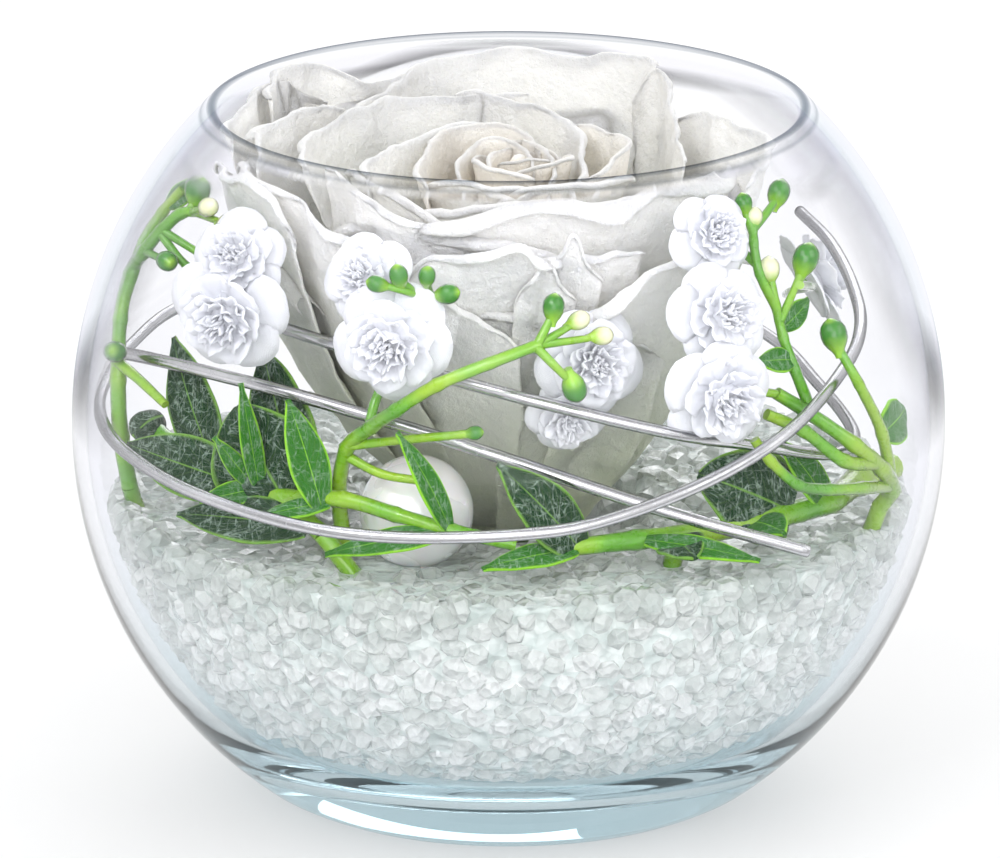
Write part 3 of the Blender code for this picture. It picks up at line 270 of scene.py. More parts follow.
def glass_finish(bowl):
    """Clear pressed glass, tinted where it is thick, that lets the lamps through; painted shade darkens it where it is
    seen edge-on, and dark lines are painted along its silhouettes and round its lip.
    """
    material, tree, shader = new_finish("pressed_glass", Roughness=0.0, IOR=1.2, Transmission_Weight=1.0)
    parts = add(tree, "ShaderNodeSeparateXYZ", values={0: places(tree)}).outputs
    height = maths(tree, "MULTIPLY", parts[2], 1 / GLOBE_HIGH.z)
    radius = maths(tree, "SQRT", maths(tree, "ADD", maths(tree, "MULTIPLY", parts[0], parts[0]),
                                       maths(tree, "MULTIPLY", parts[1], parts[1])))
    tone = ramp(tree, height, [
        (0.0, (0.74, 0.88, 0.92)), (0.08, (0.84, 0.91, 0.93)), (0.16, (0.975, 0.98, 0.985)),
        (0.60, (0.98, 0.978, 0.988)), (0.93, (0.955, 0.95, 0.972)), (0.979, (0.955, 0.95, 0.972)),
        (0.9815, (0.99, 0.99, 0.995))])
    side = add(tree, "ShaderNodeLayerWeight", values={"Blend": 0.5}).outputs["Facing"]
    # Painted shade: the glass is darkened and tinted towards its silhouettes, where it is seen edge-on.
    grazing = ramp(tree, height, [(0.12, (0.42, 0.63, 0.69)), (0.38, (0.78, 0.795, 0.865)), (0.54, (0.82, 0.805, 0.89)),
                                  (0.66, (0.955, 0.95, 0.972)), (0.95, (0.96, 0.955, 0.975))])
    tone = blend(tree, ramp(tree, side, [(0.10, 0.0), (0.50, 0.20), (0.80, 0.58), (0.93, 1.0)]), tone, grazing)
    lip = ramp(tree, height, [(0.979, 0.0), (0.9815, bowl.clarity)])
    # Painted shade: dark outlines painted along the silhouettes, strongest low on the globe.
    line = maths(tree, "MULTIPLY", ramp(tree, side, [(0.90, 0.0), (0.99, 0.85)]),
                 ramp(tree, height, [(0.58, 1.0), (0.70, 0.08), (0.979, 0.08), (0.9815, 0.0)]))
    tone = blend(tree, line, tone, (0.30, 0.36, 0.42))
    outside = maths(tree, "GREATER_THAN", radius, GlobeShape(bowl).lip_centre() + 0.0002)
    steep = maths(tree, "MULTIPLY", ramp(tree, side, [(0.42, 0.0), (0.50, 0.98)]),
                  ramp(tree, height, [(0.92, 0.0), (0.95, 1.0)]))
    # Painted shade: dark lines painted round the outside of the lip and along its top.
    ring = maths(tree, "MULTIPLY", outside, ramp(tree, height, [
        (0.9870, 0.0), (0.9890, 0.8), (0.9905, 0.8), (0.9925, 0.0)]))
    edge = maths(tree, "MAXIMUM", ring, ramp(tree, height, [(0.9970, 0.0), (0.9985, 1.0)]))
    tone = blend(tree, edge, tone, (0.36, 0.39, 0.43))
    foot = ramp(tree, height, [(0.0, bowl.clarity * 0.1), (0.13, 0.0)])
    edge_on = maths(tree, "MULTIPLY", ramp(tree, side, [(0.55, 0.0), (0.80, 0.97)]),
                    ramp(tree, height, [(0.54, 0.0), (0.66, 1.0)]))
    thin = maths(tree, "MAXIMUM", maths(tree, "MAXIMUM", lip, foot), maths(tree, "MAXIMUM", edge_on, steep))
    wave = relief(tree, blotch(tree, places(tree), 28.0, 1.0), 0.04, 0.002)
    put(tree, shader, Base_Color=tone, Normal=wave)
    lamp = add(tree, "ShaderNodeLightPath").outputs["Is Shadow Ray"]
    clear = add(tree, "ShaderNodeBsdfTransparent", values={0: blend(tree, lamp, tone, (0.98, 0.98, 0.985))}).outputs[0]
    mixed = add(tree, "ShaderNodeMixShader", values={
        0: maths(tree, "MAXIMUM", lamp, thin), 1: shader.outputs[0], 2: clear}).outputs[0]
    output = tree.nodes["Material Output"]
    tree.links.new(mixed, output.inputs["Surface"])
    depth = add(tree, "ShaderNodeVolumeAbsorption", values={
        "Color": (*bowl.tint, 1.0), "Density": bowl.tint_density})
    tree.links.new(depth.outputs[0], output.inputs["Volume"])
    return material


def share_of_height(tree):
    """Height as a share of the globe's."""
    return maths(tree, "MULTIPLY", add(tree, "ShaderNodeSeparateXYZ", values={0: places(tree)}).outputs[2],
                 1 / GLOBE_HIGH.z)


def heap_shade(tree):
    """Painted shade: greenish grey towards the top of the heap, where less white lies behind the granules."""
    return ramp(tree, share_of_height(tree), [(0.14, (1.0, 1.0, 1.0)), (0.30, (0.97, 0.98, 0.97)), (0.37, (0.86, 0.885, 0.865)),
                               (0.43, (0.68, 0.72, 0.685))])


def granule_finish(granules):
    """Clear to milky glass chips, with painted shade towards the top of the heap and on their edge-on sides."""
    material, tree, shader = new_finish("glass_granules", IOR=1.5, Coat_Weight=1.0, Coat_Roughness=0.02,
                                        Transmission_Weight=0.15)
    grain = add(tree, "ShaderNodeAttribute", {"attribute_name": GRAIN}).outputs["Fac"]
    cloud = blotch(tree, places(tree), 700.0, 3.0)
    mixed = maths(tree, "ADD", maths(tree, "MULTIPLY", grain, 0.7), maths(tree, "MULTIPLY", cloud, 0.4))
    tone = blend(tree, ramp(tree, mixed, [(0.25, 0.0), (0.75, 1.0)]), granules.clear, granules.milky)
    cells = add(tree, "ShaderNodeTexVoronoi", {"feature": "F1"}, {"Vector": places(tree), "Scale": 760.0})
    glint = add(tree, "ShaderNodeSeparateXYZ", values={0: cells.outputs["Color"]}).outputs[0]
    tone = blend(tree, ramp(tree, glint, [(0.60, 0.0), (0.95, 0.35)]), tone, (0.66, 0.72, 0.70))
    # Painted shade: the chips grow greener grey towards the top of the heap.
    tone = blend(tree, 1.0, tone, heap_shade(tree), "MULTIPLY")
    # Painted shade: dark edges painted where a chip is seen edge-on, fainter low in the heap.
    edge = add(tree, "ShaderNodeLayerWeight", values={"Blend": 0.40}).outputs["Facing"]
    depth = ramp(tree, share_of_height(tree), [(0.20, 0.30), (0.40, 1.0)])
    tone = blend(tree, maths(tree, "MULTIPLY", depth, ramp(tree, edge, [(0.45, 0.0), (0.85, 0.85)])), tone,
                 (0.38, 0.44, 0.41))
    rough = ramp(tree, cloud, [(0.3, 0.02), (0.8, 0.16)])
    chip = relief(tree, blotch(tree, places(tree), 1100.0, 2.0), 0.4, 0.0008,
                  relief(tree, cells.outputs["Distance"], 0.8, 0.0009))
    put(tree, shader, Base_Color=tone, Roughness=rough, Normal=chip)
    see = maths(tree, "MULTIPLY", ramp(tree, edge, [(0.15, granules.clearness), (0.75, 0.0)]),
                ramp(tree, grain, [(0.2, 1.0), (0.9, 0.35)]))
    clear = add(tree, "ShaderNodeBsdfTransparent", values={0: (0.975, 0.982, 0.975, 1.0)}).outputs[0]
    both = add(tree, "ShaderNodeMixShader", values={0: see, 1: shader.outputs[0], 2: clear}).outputs[0]
    tree.links.new(both, tree.nodes["Material Output"].inputs["Surface"])
    return material


def core_finish(granules):
    """What shows in the gaps between the granules, with painted shade between its cells and towards the top of the
    heap.
    """
    material, tree, shader = new_finish("granules_in_depth", Coat_Weight=0.5, Coat_Roughness=0.08)
    heights, tones = [], []
    for scale in (300.0, 620.0):
        cells = add(tree, "ShaderNodeTexVoronoi", {"feature": "F1"}, {"Vector": places(tree), "Scale": scale})
        heights.append(cells.outputs["Distance"])
        tones.append(add(tree, "ShaderNodeSeparateXYZ", values={0: cells.outputs["Color"]}).outputs[0])
    tone = blend(tree, ramp(tree, tones[0], [(0.1, 0.0), (0.9, 1.0)]), granules.milky, (0.80, 0.85, 0.84))
    tone = blend(tree, ramp(tree, tones[1], [(0.6, 0.0), (0.9, 0.5)]), tone, (0.62, 0.68, 0.67))
    # Painted shade: darker in the gaps between the cells.
    tone = blend(tree, ramp(tree, heights[0], [(0.42, 0.0), (0.75, 0.55)]), tone, (0.55, 0.61, 0.60))
    # Painted shade towards the top of the heap, as on the granules.
    tone = blend(tree, 1.0, blend(tree, 1.0, tone, heap_shade(tree), "MULTIPLY"), (0.92, 0.93, 0.925), "MULTIPLY")
    facets = relief(tree, heights[1], 0.5, 0.0010, relief(tree, heights[0], 0.5, 0.0020))
    put(tree, shader, Base_Color=tone, Normal=facets, Roughness=ramp(tree, tones[1], [(0.1, 0.08), (0.9, 0.35)]))
    return material


def petal_finish(flower, name, lip, root, stops):
    """Soft preserved petal: greener at its root, veined and slightly crumpled, with painted shade on the back petals
    and low in the bloom.
    """
    material, tree, shader = new_finish(name, Subsurface_Weight=0.55, Subsurface_Scale=0.004,
                                        Sheen_Weight=0.15, Sheen_Roughness=0.5, Specular_IOR_Level=0.3)
    shader.inputs["Subsurface Radius"].default_value = (1.0, 0.95, 0.80)
    uv, across, along = pattern(tree)
    base = ramp(tree, maths(tree, "ADD", along, maths(tree, "MULTIPLY", blotch(tree, places(tree), 90.0), 0.25)),
                stops)
    tone = blend(tree, base, lip, root)
    parts = add(tree, "ShaderNodeSeparateXYZ", values={0: places(tree)}).outputs
    height = maths(tree, "MULTIPLY", parts[2], 1 / GLOBE_HIGH.z)
    # Painted shade: petals towards the back of the globe are greyed, as on the shaded inner faces of the back petals.
    back = maths(tree, "MULTIPLY", parts[1], 1 / GLOBE_HIGH.x)
    tone = blend(tree, 1.0, tone, ramp(tree, back, [(0.08, (1.0, 1.0, 1.0)), (0.34, (0.87, 0.865, 0.87))]), "MULTIPLY")
    # Darker and greener lower in the rose: painted shade deep in the bloom, over the greener tone that the petals have
    # there.
    tone = blend(tree, 1.0, tone, ramp(tree, height, [
        (0.46, (0.66, 0.69, 0.53)), (0.62, (0.80, 0.82, 0.70)), (0.76, (0.97, 0.97, 0.93)), (0.86, (1.0, 1.0, 0.99))]),
        "MULTIPLY")
    veins = blotch(tree, uv, 7.0, 4.0, 0.6, (4.0, 0.6, 1.0))
    tone = blend(tree, ramp(tree, veins, [(0.35, 0.0), (0.75, 0.16)]), tone, (0.74, 0.71, 0.66))
    specks = blotch(tree, places(tree), 420.0, 5.0, 0.75)
    tone = blend(tree, ramp(tree, specks, [(0.52, 0.0), (0.80, 0.32)]), tone, (0.72, 0.70, 0.68))
    crumple = blotch(tree, places(tree), 210.0, 6.0, 0.68)
    soft = relief(tree, crumple, 0.60, 0.0035)
    put(tree, shader, Base_Color=tone, Roughness=ramp(tree, specks, [(0.2, 0.48), (0.9, 0.72)]),
        Normal=relief(tree, veins, 0.20, 0.0006, soft))
    return material


def leaf_finish(foliage, name, dark, edge, frost, rough):
    """Waxy leaf with a pale midrib, side veins, a bright edge and a frosted bloom."""
    material, tree, shader = new_finish(name, Coat_Weight=0.08, Coat_Roughness=0.20, Subsurface_Weight=0.06,
                                        Subsurface_Scale=0.002, Specular_IOR_Level=0.12)
    uv, across, along = pattern(tree)
    side = maths(tree, "ABSOLUTE", maths(tree, "SUBTRACT", across, 0.5))
    fan = maths(tree, "SUBTRACT", maths(tree, "MULTIPLY", along, 11.0), maths(tree, "MULTIPLY", side, 7.0))
    vein = ramp(tree, maths(tree, "PINGPONG", fan, 0.5), [(0.0, 1.0), (0.09, 0.0)])
    rib = ramp(tree, side, [(0.006, 0.8), (0.020, 0.0)])
    rim = ramp(tree, maths(tree, "ADD", side, maths(tree, "MULTIPLY", blotch(tree, places(tree), 160.0), 0.05)),
               [(0.462, 0.0), (0.515, 1.0)])
    mist = blotch(tree, places(tree), 480.0, 6.0, 0.75)
    fibres = ramp(tree, blotch(tree, uv, 1.0, 5.0, 0.7, (34.0, 5.0, 1.0)), [(0.52, 0.0), (0.61, 1.0)])
    haze = maths(tree, "MULTIPLY", ramp(tree, mist, [(0.42, 0.0), (0.70, 0.55)]), fibres)
    for stretch in ((9.0, 2.2, 1.6), (1.8, 2.6, 9.0), (3.0, 9.0, 2.0)):
        scratch = ramp(tree, blotch(tree, places(tree), 90.0, 3.0, 0.5, stretch),
                       [(0.482, 0.0), (0.50, 0.9), (0.518, 0.0)])
        haze = maths(tree, "MAXIMUM", haze, maths(tree, "MULTIPLY", scratch, ramp(tree, mist, [(0.4, 0.1), (0.6, 1.0)])))
    tone = blend(tree, maths(tree, "MULTIPLY", haze, frost), dark, (0.34, 0.43, 0.37))
    tone = blend(tree, maths(tree, "MULTIPLY", vein, 0.18), tone, edge)
    tone = blend(tree, maths(tree, "MAXIMUM", rib, rim), tone, edge)
    height = maths(tree, "SUBTRACT", maths(tree, "MULTIPLY", mist, 0.4), maths(tree, "MAXIMUM", rib, vein))
    put(tree, shader, Base_Color=tone, Normal=relief(tree, height, 0.5, 0.0003),
        Roughness=ramp(tree, mist, [(0.3, rough), (0.8, rough + 0.25)]))
    return material


def painted_edge_shade(tree, tone, depth):
    """Painted shade: darken a colour where its surface turns away from view, towards its silhouette."""
    away = add(tree, "ShaderNodeLayerWeight", values={"Blend": 0.5}).outputs["Facing"]
    return blend(tree, 1.0, tone, ramp(tree, away, [(0.0, 1.0), (0.35, 0.92), (0.75, 1 - depth * 0.7), (1.0, 1 - depth)]),
                 "MULTIPLY")


def stem_finish(foliage):
    """Moulded bright green plastic, yellower in places."""
    material, tree, shader = new_finish("stem_plastic", Coat_Weight=0.9, Coat_Roughness=0.05,
                                        Subsurface_Weight=0.05, Subsurface_Scale=0.0015)
    cloud = blotch(tree, places(tree), 70.0, 2.0)
    fine = blotch(tree, places(tree), 900.0, 3.0)
    yellow = tuple(c * f for c, f in zip(foliage.bright_colour, (2.3, 1.25, 1.6)))
    dark = tuple(c * f for c, f in zip(foliage.bright_colour, (0.45, 0.62, 0.8)))
    tone = blend(tree, ramp(tree, cloud, [(0.40, 0.0), (0.62, 1.0)]), foliage.bright_colour, yellow)
    tone = blend(tree, ramp(tree, cloud, [(0.28, 0.8), (0.45, 0.0)]), tone, dark)
    # Painted shade: the stem's colour darkens towards its silhouette.
    put(tree, shader, Base_Color=painted_edge_shade(tree, tone, 0.6), Normal=relief(tree, fine, 0.25, 0.0003),
        Roughness=ramp(tree, fine, [(0.3, 0.22), (0.8, 0.40)]))
    return material


def bud_finish(name, ball, neck, tip):
    """Glossy bud whose neck has the stem's green."""
    material, tree, shader = new_finish(name, Coat_Weight=0.8, Coat_Roughness=0.04, Subsurface_Weight=0.1,
                                        Subsurface_Scale=0.001)
    uv, across, along = pattern(tree)
    fine = blotch(tree, places(tree), 500.0, 3.0)
    reach = maths(tree, "ADD", along, maths(tree, "MULTIPLY", fine, 0.2))
    tone = ramp(tree, reach, [(0.35, neck), (0.60, ball), (0.82, ball), (1.08, tip)])
    # Painted shade: the bud's colour darkens towards its silhouette.
    put(tree, shader, Base_Color=painted_edge_shade(tree, tone, 0.7), Normal=relief(tree, fine, 0.12, 0.0003),
        Roughness=ramp(tree, fine, [(0.3, 0.12), (0.8, 0.25)]))
    return material


def fabric_finish(flower):
    """Fine white blossom fabric, its weave just visible."""
    material, tree, shader = new_finish("blossom_fabric", Sheen_Weight=0.3, Sheen_Roughness=0.4,
                                        Subsurface_Weight=0.35, Subsurface_Scale=0.0012, Roughness=0.85,
                                        Specular_IOR_Level=0.15)
    shader.inputs["Subsurface Radius"].default_value = (1.0, 1.0, 1.0)
    uv, across, along = pattern(tree)
    threads = maths(tree, "MULTIPLY", maths(tree, "SINE", maths(tree, "MULTIPLY", across, 190.0)),
                    maths(tree, "SINE", maths(tree, "MULTIPLY", along, 150.0)))
    cloud = blotch(tree, places(tree), 240.0, 3.0)
    shade = tuple(c * f for c, f in zip(flower.fabric_colour, (0.88, 0.89, 0.93)))
    tone = blend(tree, ramp(tree, cloud, [(0.35, 0.0), (0.75, 0.6)]), flower.fabric_colour, shade)
    tone = blend(tree, ramp(tree, along, [(0.05, 0.5), (0.35, 0.0)]), tone, (0.70, 0.76, 0.72))
    put(tree, shader, Base_Color=tone, Normal=relief(tree, threads, 0.25, 0.0001,
                                                     relief(tree, cloud, 0.3, 0.0006)))
    return material


def wire_finish(metal):
    """Bright drawn aluminium with fine lines along the wire, and painted reflections in light and dark bands along it.
    """
    material, tree, shader = new_finish("drawn_aluminium", Metallic=1.0)
    lines = blotch(tree, places(tree), 900.0, 4.0, 0.65, (1.0, 0.25, 1.0))
    tone = blend(tree, ramp(tree, lines, [(0.35, 0.0), (0.8, 0.5)]), metal.wire_colour, (0.50, 0.50, 0.52))
    around = add(tree, "ShaderNodeLayerWeight", values={"Blend": 0.5}).outputs["Facing"]
    # Painted reflection: light and dark bands that follow the wire's silhouette.
    painted_reflection_bands = ramp(tree, around, [(0.0, 1.0), (0.14, 0.50), (0.28, 1.0), (0.48, 0.72), (0.74, 0.24), (1.0, 0.10)])
    put(tree, shader, Base_Color=blend(tree, 1.0, tone, painted_reflection_bands, "MULTIPLY"),
        Roughness=ramp(tree, lines, [(0.3, 0.14), (0.8, 0.34)]), Normal=relief(tree, lines, 0.15, 0.0002))
    return material


def pearl_finish(metal):
    """White lustre over a faint cloud, with a painted bluish-grey sheen towards its silhouette."""
    material, tree, shader = new_finish("pearl_lustre", Coat_Weight=0.8, Coat_Roughness=0.08,
                                        Subsurface_Weight=0.2, Subsurface_Scale=0.002, Metallic=0.15)
    cloud = blotch(tree, places(tree), 120.0, 2.0)
    tone = blend(tree, ramp(tree, cloud, [(0.3, 0.0), (0.7, 0.7)]), metal.pearl_colour, (0.90, 0.86, 0.87))
    # Painted sheen: bluish grey towards the pearl's silhouette.
    rim = add(tree, "ShaderNodeLayerWeight", values={"Blend": 0.25}).outputs["Facing"]
    tone = blend(tree, maths(tree, "MULTIPLY", rim, 0.35), tone, (0.78, 0.81, 0.86))
    fine = blotch(tree, places(tree), 1500.0, 2.0)
    put(tree, shader, Base_Color=tone, Normal=relief(tree, fine, 0.04, 0.0002),
        Roughness=ramp(tree, cloud, [(0.3, 0.22), (0.8, 0.34)]))
    return material


def floor_finish():
    """Pale matt table."""
    material, tree, shader = new_finish("pale_table", Specular_IOR_Level=0.1, Emission_Strength=0.40)
    shader.inputs["Emission Color"].default_value = (1.0, 1.0, 1.0, 1.0)
    cloud = blotch(tree, places(tree), 3.0, 3.0)
    tone = ramp(tree, cloud, [(0.3, (0.47, 0.47, 0.472)), (0.7, (0.49, 0.49, 0.492))])
    put(tree, shader, Base_Color=tone, Roughness=ramp(tree, cloud, [(0.3, 0.7), (0.7, 0.8)]))
    return material


# ---------------------------------------------------------------- mesh helpers

class Draft:
    """Points, faces, pattern coordinates and finishes of a piece while it is made."""

    def __init__(self):
        self.points, self.pattern, self.faces, self.finish = [], [], [], []

    def face(self, corners, finish=0):
        self.faces.append(tuple(corners))
        self.finish.append(finish)

    def point(self, place, across=0.5, along=0.5):
        self.points.append(place)
        self.pattern.append((across, along))
        return len(self.points) - 1

    def sheet(self, rows, thickness, finish=0, thin=0.35):
        """A closed sheet round a grid of points, thinner at its rim."""
        tall, wide = len(rows), len(rows[0])
        sides = []
        for sign in (1, -1):
            grid = []
            for j in range(tall):
                line = []
                for i in range(wide):
                    along = rows[min(j + 1, tall - 1)][i] - rows[max(j - 1, 0)][i]
                    across = rows[j][min(i + 1, wide - 1)] - rows[j][max(i - 1, 0)]
                    normal = across.cross(along)
                    if normal.length > 0:
                        normal.normalize()
                    rim = min(i, wide - 1 - i, tall - 1 - j)
                    half = thickness / 2 * (thin if rim == 0 else 1.0)
                    line.append(self.point(rows[j][i] + normal * half * sign,
                                           i / (wide - 1), j / (tall - 1)))
                grid.append(line)
            sides.append(grid)
        for sign, grid in zip((1, -1), sides):
            for j in range(tall - 1):
                for i in range(wide - 1):
                    a, b, c, d = grid[j][i], grid[j][i + 1], grid[j + 1][i + 1], grid[j + 1][i]
                    self.face((a, b, c, d)[::sign], finish)
        rim = [(0, i) for i in range(wide)] + [(j, wide - 1) for j in range(1, tall)]
        rim += [(tall - 1, i) for i in range(wide - 2, -1, -1)] + [(j, 0) for j in range(tall - 2, 0, -1)]
        for (j, i), (m, n) in zip(rim, rim[1:] + rim[:1]):
            self.face((sides[0][m][n], sides[0][j][i], sides[1][j][i], sides[1][m][n]), finish)

    def lathe(self, profile, centre, axis, sides, finish=0, closed=True):
        """A body turned about an axis from (along, radius) pairs; an end of radius 0 is a pole."""
        axis = axis.normalized()
        side = axis.orthogonal().normalized()
        other = axis.cross(side)
        rings = []
        count = len(profile) - 1
        for n, (along, radius) in enumerate(profile):
            middle = centre + axis * along
            if radius == 0:
                rings.append([self.point(middle, 0.5, n / count)])
                continue
            rings.append([self.point(middle + (side * math.cos(math.tau * k / sides)
                                               + other * math.sin(math.tau * k / sides)) * radius,
                                     k / sides, n / count) for k in range(sides)])
        for low, high in zip(rings, rings[1:]):
            for k in range(sides):
                m = (k + 1) % sides
                if len(low) == 1:
                    self.face((low[0], high[m], high[k]), finish)
                elif len(high) == 1:
                    self.face((low[k], low[m], high[0]), finish)
                else:
                    self.face((low[k], low[m], high[m], high[k]), finish)
        if closed and len(rings[0]) > 1:
            self.face(rings[0][::-1], finish)
        if closed and len(rings[-1]) > 1:
            self.face(rings[-1], finish)

    def mesh(self, name):
        mesh = bpy.data.meshes.new(name)
        mesh.from_pydata([tuple(p) for p in self.points], [], self.faces)
        layer = mesh.uv_layers.new(name=PATTERN)
        for loop in mesh.loops:
            layer.data[loop.index].uv = self.pattern[loop.vertex_index]
        mesh.polygons.foreach_set("material_index", self.finish)
        return mesh


def finish_piece(name, mesh, materials, nodes, sharp=None):
    """Link a finished mesh as a piece that rides on the root body and stands for its CAD nodes."""
    piece = bpy.data.objects.new(name, mesh)
    bpy.context.scene.collection.objects.link(piece)
    for material in materials[len(mesh.materials):]:
        mesh.materials.append(material)
    mesh.shade_smooth()
    if sharp:
        mesh.set_sharp_from_angle(angle=math.radians(sharp))
    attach(piece, "root")
    if nodes:
        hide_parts(*nodes)
    return piece


def smooth_route(points, step=0.001):
    """Points about a step apart on a Catmull-Rom curve through the given ones, with their place in the list."""
    if len(points) < 3:
        count = max(2, round((points[1] - points[0]).length / step))
        return [(points[0].lerp(points[1], i / count), i / count) for i in range(count + 1)]
    ends = [points[0] * 2 - points[1], *points, points[-1] * 2 - points[-2]]
    route = []
    for n, (a, b, c, d) in enumerate(zip(ends, ends[1:], ends[2:], ends[3:])):
        count = max(1, round((c - b).length / step))
        for i in range(count):
            t = i / count
            route.append(((b * 2 + (c - a) * t + (a * 2 - b * 5 + c * 4 - d) * t ** 2
                           + (b * 3 - a - c * 3 + d) * t ** 3) / 2, n + t))
    route.append((points[-1], len(points) - 1.0))
    return route


def new_tree(name, inputs):
    """A Geometry Nodes tree with named inputs; returns it, its input node and the sockets' identifiers."""
    tree = bpy.data.node_groups.new(name, "GeometryNodeTree")
    tree.interface.new_socket("Geometry", in_out="INPUT", socket_type="NodeSocketGeometry")
    names = {}
    for label, kind in inputs:
        names[label] = tree.interface.new_socket(label, in_out="INPUT", socket_type=kind).identifier
    tree.interface.new_socket("Geometry", in_out="OUTPUT", socket_type="NodeSocketGeometry")
    return tree, tree.nodes.new("NodeGroupInput"), names


def run_tree(holder, tree, names, values):
    """Evaluate a tree on an object with its inputs set, and return the plain mesh; the holder goes."""
    modifier = holder.modifiers.new(tree.name, "NODES")
    modifier.node_group = tree
    for label, value in values.items():
        modifier[names[label]] = value
    depsgraph = bpy.context.evaluated_depsgraph_get()
    mesh = bpy.data.meshes.new_from_object(holder.evaluated_get(depsgraph))
    data = holder.data
    holder.modifiers.remove(modifier)
    bpy.data.objects.remove(holder, do_unlink=True)
    if isinstance(data, bpy.types.Curve):
        bpy.data.curves.remove(data)
    else:
        bpy.data.meshes.remove(data)
    return mesh


def rod_tree():
    """Geometry Nodes tree that lays a round rod along each route, as thick as the route says."""
    tree, start, names = new_tree("round_rod", [("Sides", "NodeSocketInt"), ("Material", "NodeSocketMaterial")])
    ring = add(tree, "GeometryNodeCurvePrimitiveCircle", values={
        "Resolution": start.outputs["Sides"], "Radius": 1.0})
    width = add(tree, "GeometryNodeInputRadius").outputs[0]
    rod = add(tree, "GeometryNodeCurveToMesh", values={
        "Curve": start.outputs["Geometry"], "Profile Curve": ring.outputs["Curve"], "Scale": width,
        "Fill Caps": True})
    whole = add(tree, "GeometryNodeRealizeInstances", values={"Geometry": rod.outputs[0]})
    dressed = add(tree, "GeometryNodeSetMaterial", values={
        "Geometry": whole.outputs[0], "Material": start.outputs["Material"]})
    add(tree, "NodeGroupOutput", values={0: dressed.outputs[0]})
    return tree, names


def rods(name, routes, sides, material):
    """Plain mesh of round rods; each route is a list of (place, radius)."""
    curve = bpy.data.curves.new(name, "CURVE")
    curve.dimensions = "3D"
    for route in routes:
        spline = curve.splines.new("POLY")
        spline.points.add(len(route) - 1)
        for knot, (place, radius) in zip(spline.points, route):
            knot.co = (*place, 1.0)
            knot.radius = radius
    holder = bpy.data.objects.new(name, curve)
    bpy.context.scene.collection.objects.link(holder)
    tree, names = rod_tree()
    return run_tree(holder, tree, names, {"Sides": sides, "Material": material})


def add_mesh(draft, mesh, finish=0):
    """Add a plain mesh's points and faces to a draft; every point gets the middle of the pattern coordinates."""
    start = len(draft.points)
    for vertex in mesh.vertices:
        draft.point(vertex.co.copy())
    for polygon in mesh.polygons:
        draft.face([start + v for v in polygon.vertices], finish)
    bpy.data.meshes.remove(mesh)


# ---------------------------------------------------------------- globe shape

class GlobeShape:
    """The globe's outline, from its settings."""

    def __init__(self, bowl):
        self.bowl = bowl
        self.radius = GLOBE_HIGH.x
        self.height = GLOBE_HIGH.z
        self.lip = bowl.lip_radius

    def semi(self, angle):
        return self.bowl.upper_axis if angle > 0 else self.bowl.lower_axis

    def outer(self, angle):
        return self.radius * math.cos(angle), self.bowl.equator + self.semi(angle) * math.sin(angle)

    def normal(self, angle):
        return Vector((math.cos(angle) / self.radius, math.sin(angle) / self.semi(angle))).normalized()

    def inner(self, angle, inset=0.0):
        wall = self.bowl.wall + (self.bowl.wall_at_floor - self.bowl.wall) * min(math.sin(angle), 0.0) ** 2
        r, z = self.outer(angle)
        n = self.normal(angle)
        return r - n.x * (wall + inset), z - n.y * (wall + inset)

    def corner_start(self):
        angle = -0.4
        reach = self.bowl.floor_corner
        while self.inner(angle, reach)[1] > self.bowl.floor_height + reach:
            angle -= 0.002
        return angle, self.inner(angle, reach)[0], self.bowl.floor_height + reach

    def corner(self, count, inset=0.0):
        angle, r, z = self.corner_start()
        n = self.normal(angle)
        first = math.atan2(n.y, n.x)
        radius = self.bowl.floor_corner - inset
        turns = [first + (-math.pi / 2 - first) * i / count for i in range(count + 1)]
        return [(r + radius * math.cos(a), z + radius * math.sin(a)) for a in turns]

    def lip_angle(self):
        angle = 0.6
        while self.outer(angle)[1] - self.normal(angle).y * self.lip + self.lip < self.height:
            angle += 0.0001
        return angle - 0.0001

    def lip_centre(self):
        """Radius of the ring that the lip is rounded about."""
        top = self.lip_angle()
        return self.outer(top)[0] - self.normal(top).x * self.lip

    def filling_side(self, level, inset, rows):
        """Points down the filling's side and over its corner, inset from the glass."""
        top = math.asin((level - self.bowl.equator) / self.bowl.lower_axis)
        start = self.corner_start()[0]
        points = [self.inner(top + (start - top) * i / rows, inset) for i in range(rows)]
        return points + self.corner(rows // 2, inset)


def turned_mesh(name, profile, sides):
    """A mesh turned about the vertical axis from (radius, height) pairs."""
    draft = Draft()
    draft.lathe([(z, r) for r, z in profile], Vector(), Vector((0, 0, 1)), sides, closed=False)
    return draft.mesh(name)


# ---------------------------------------------------------------- operators

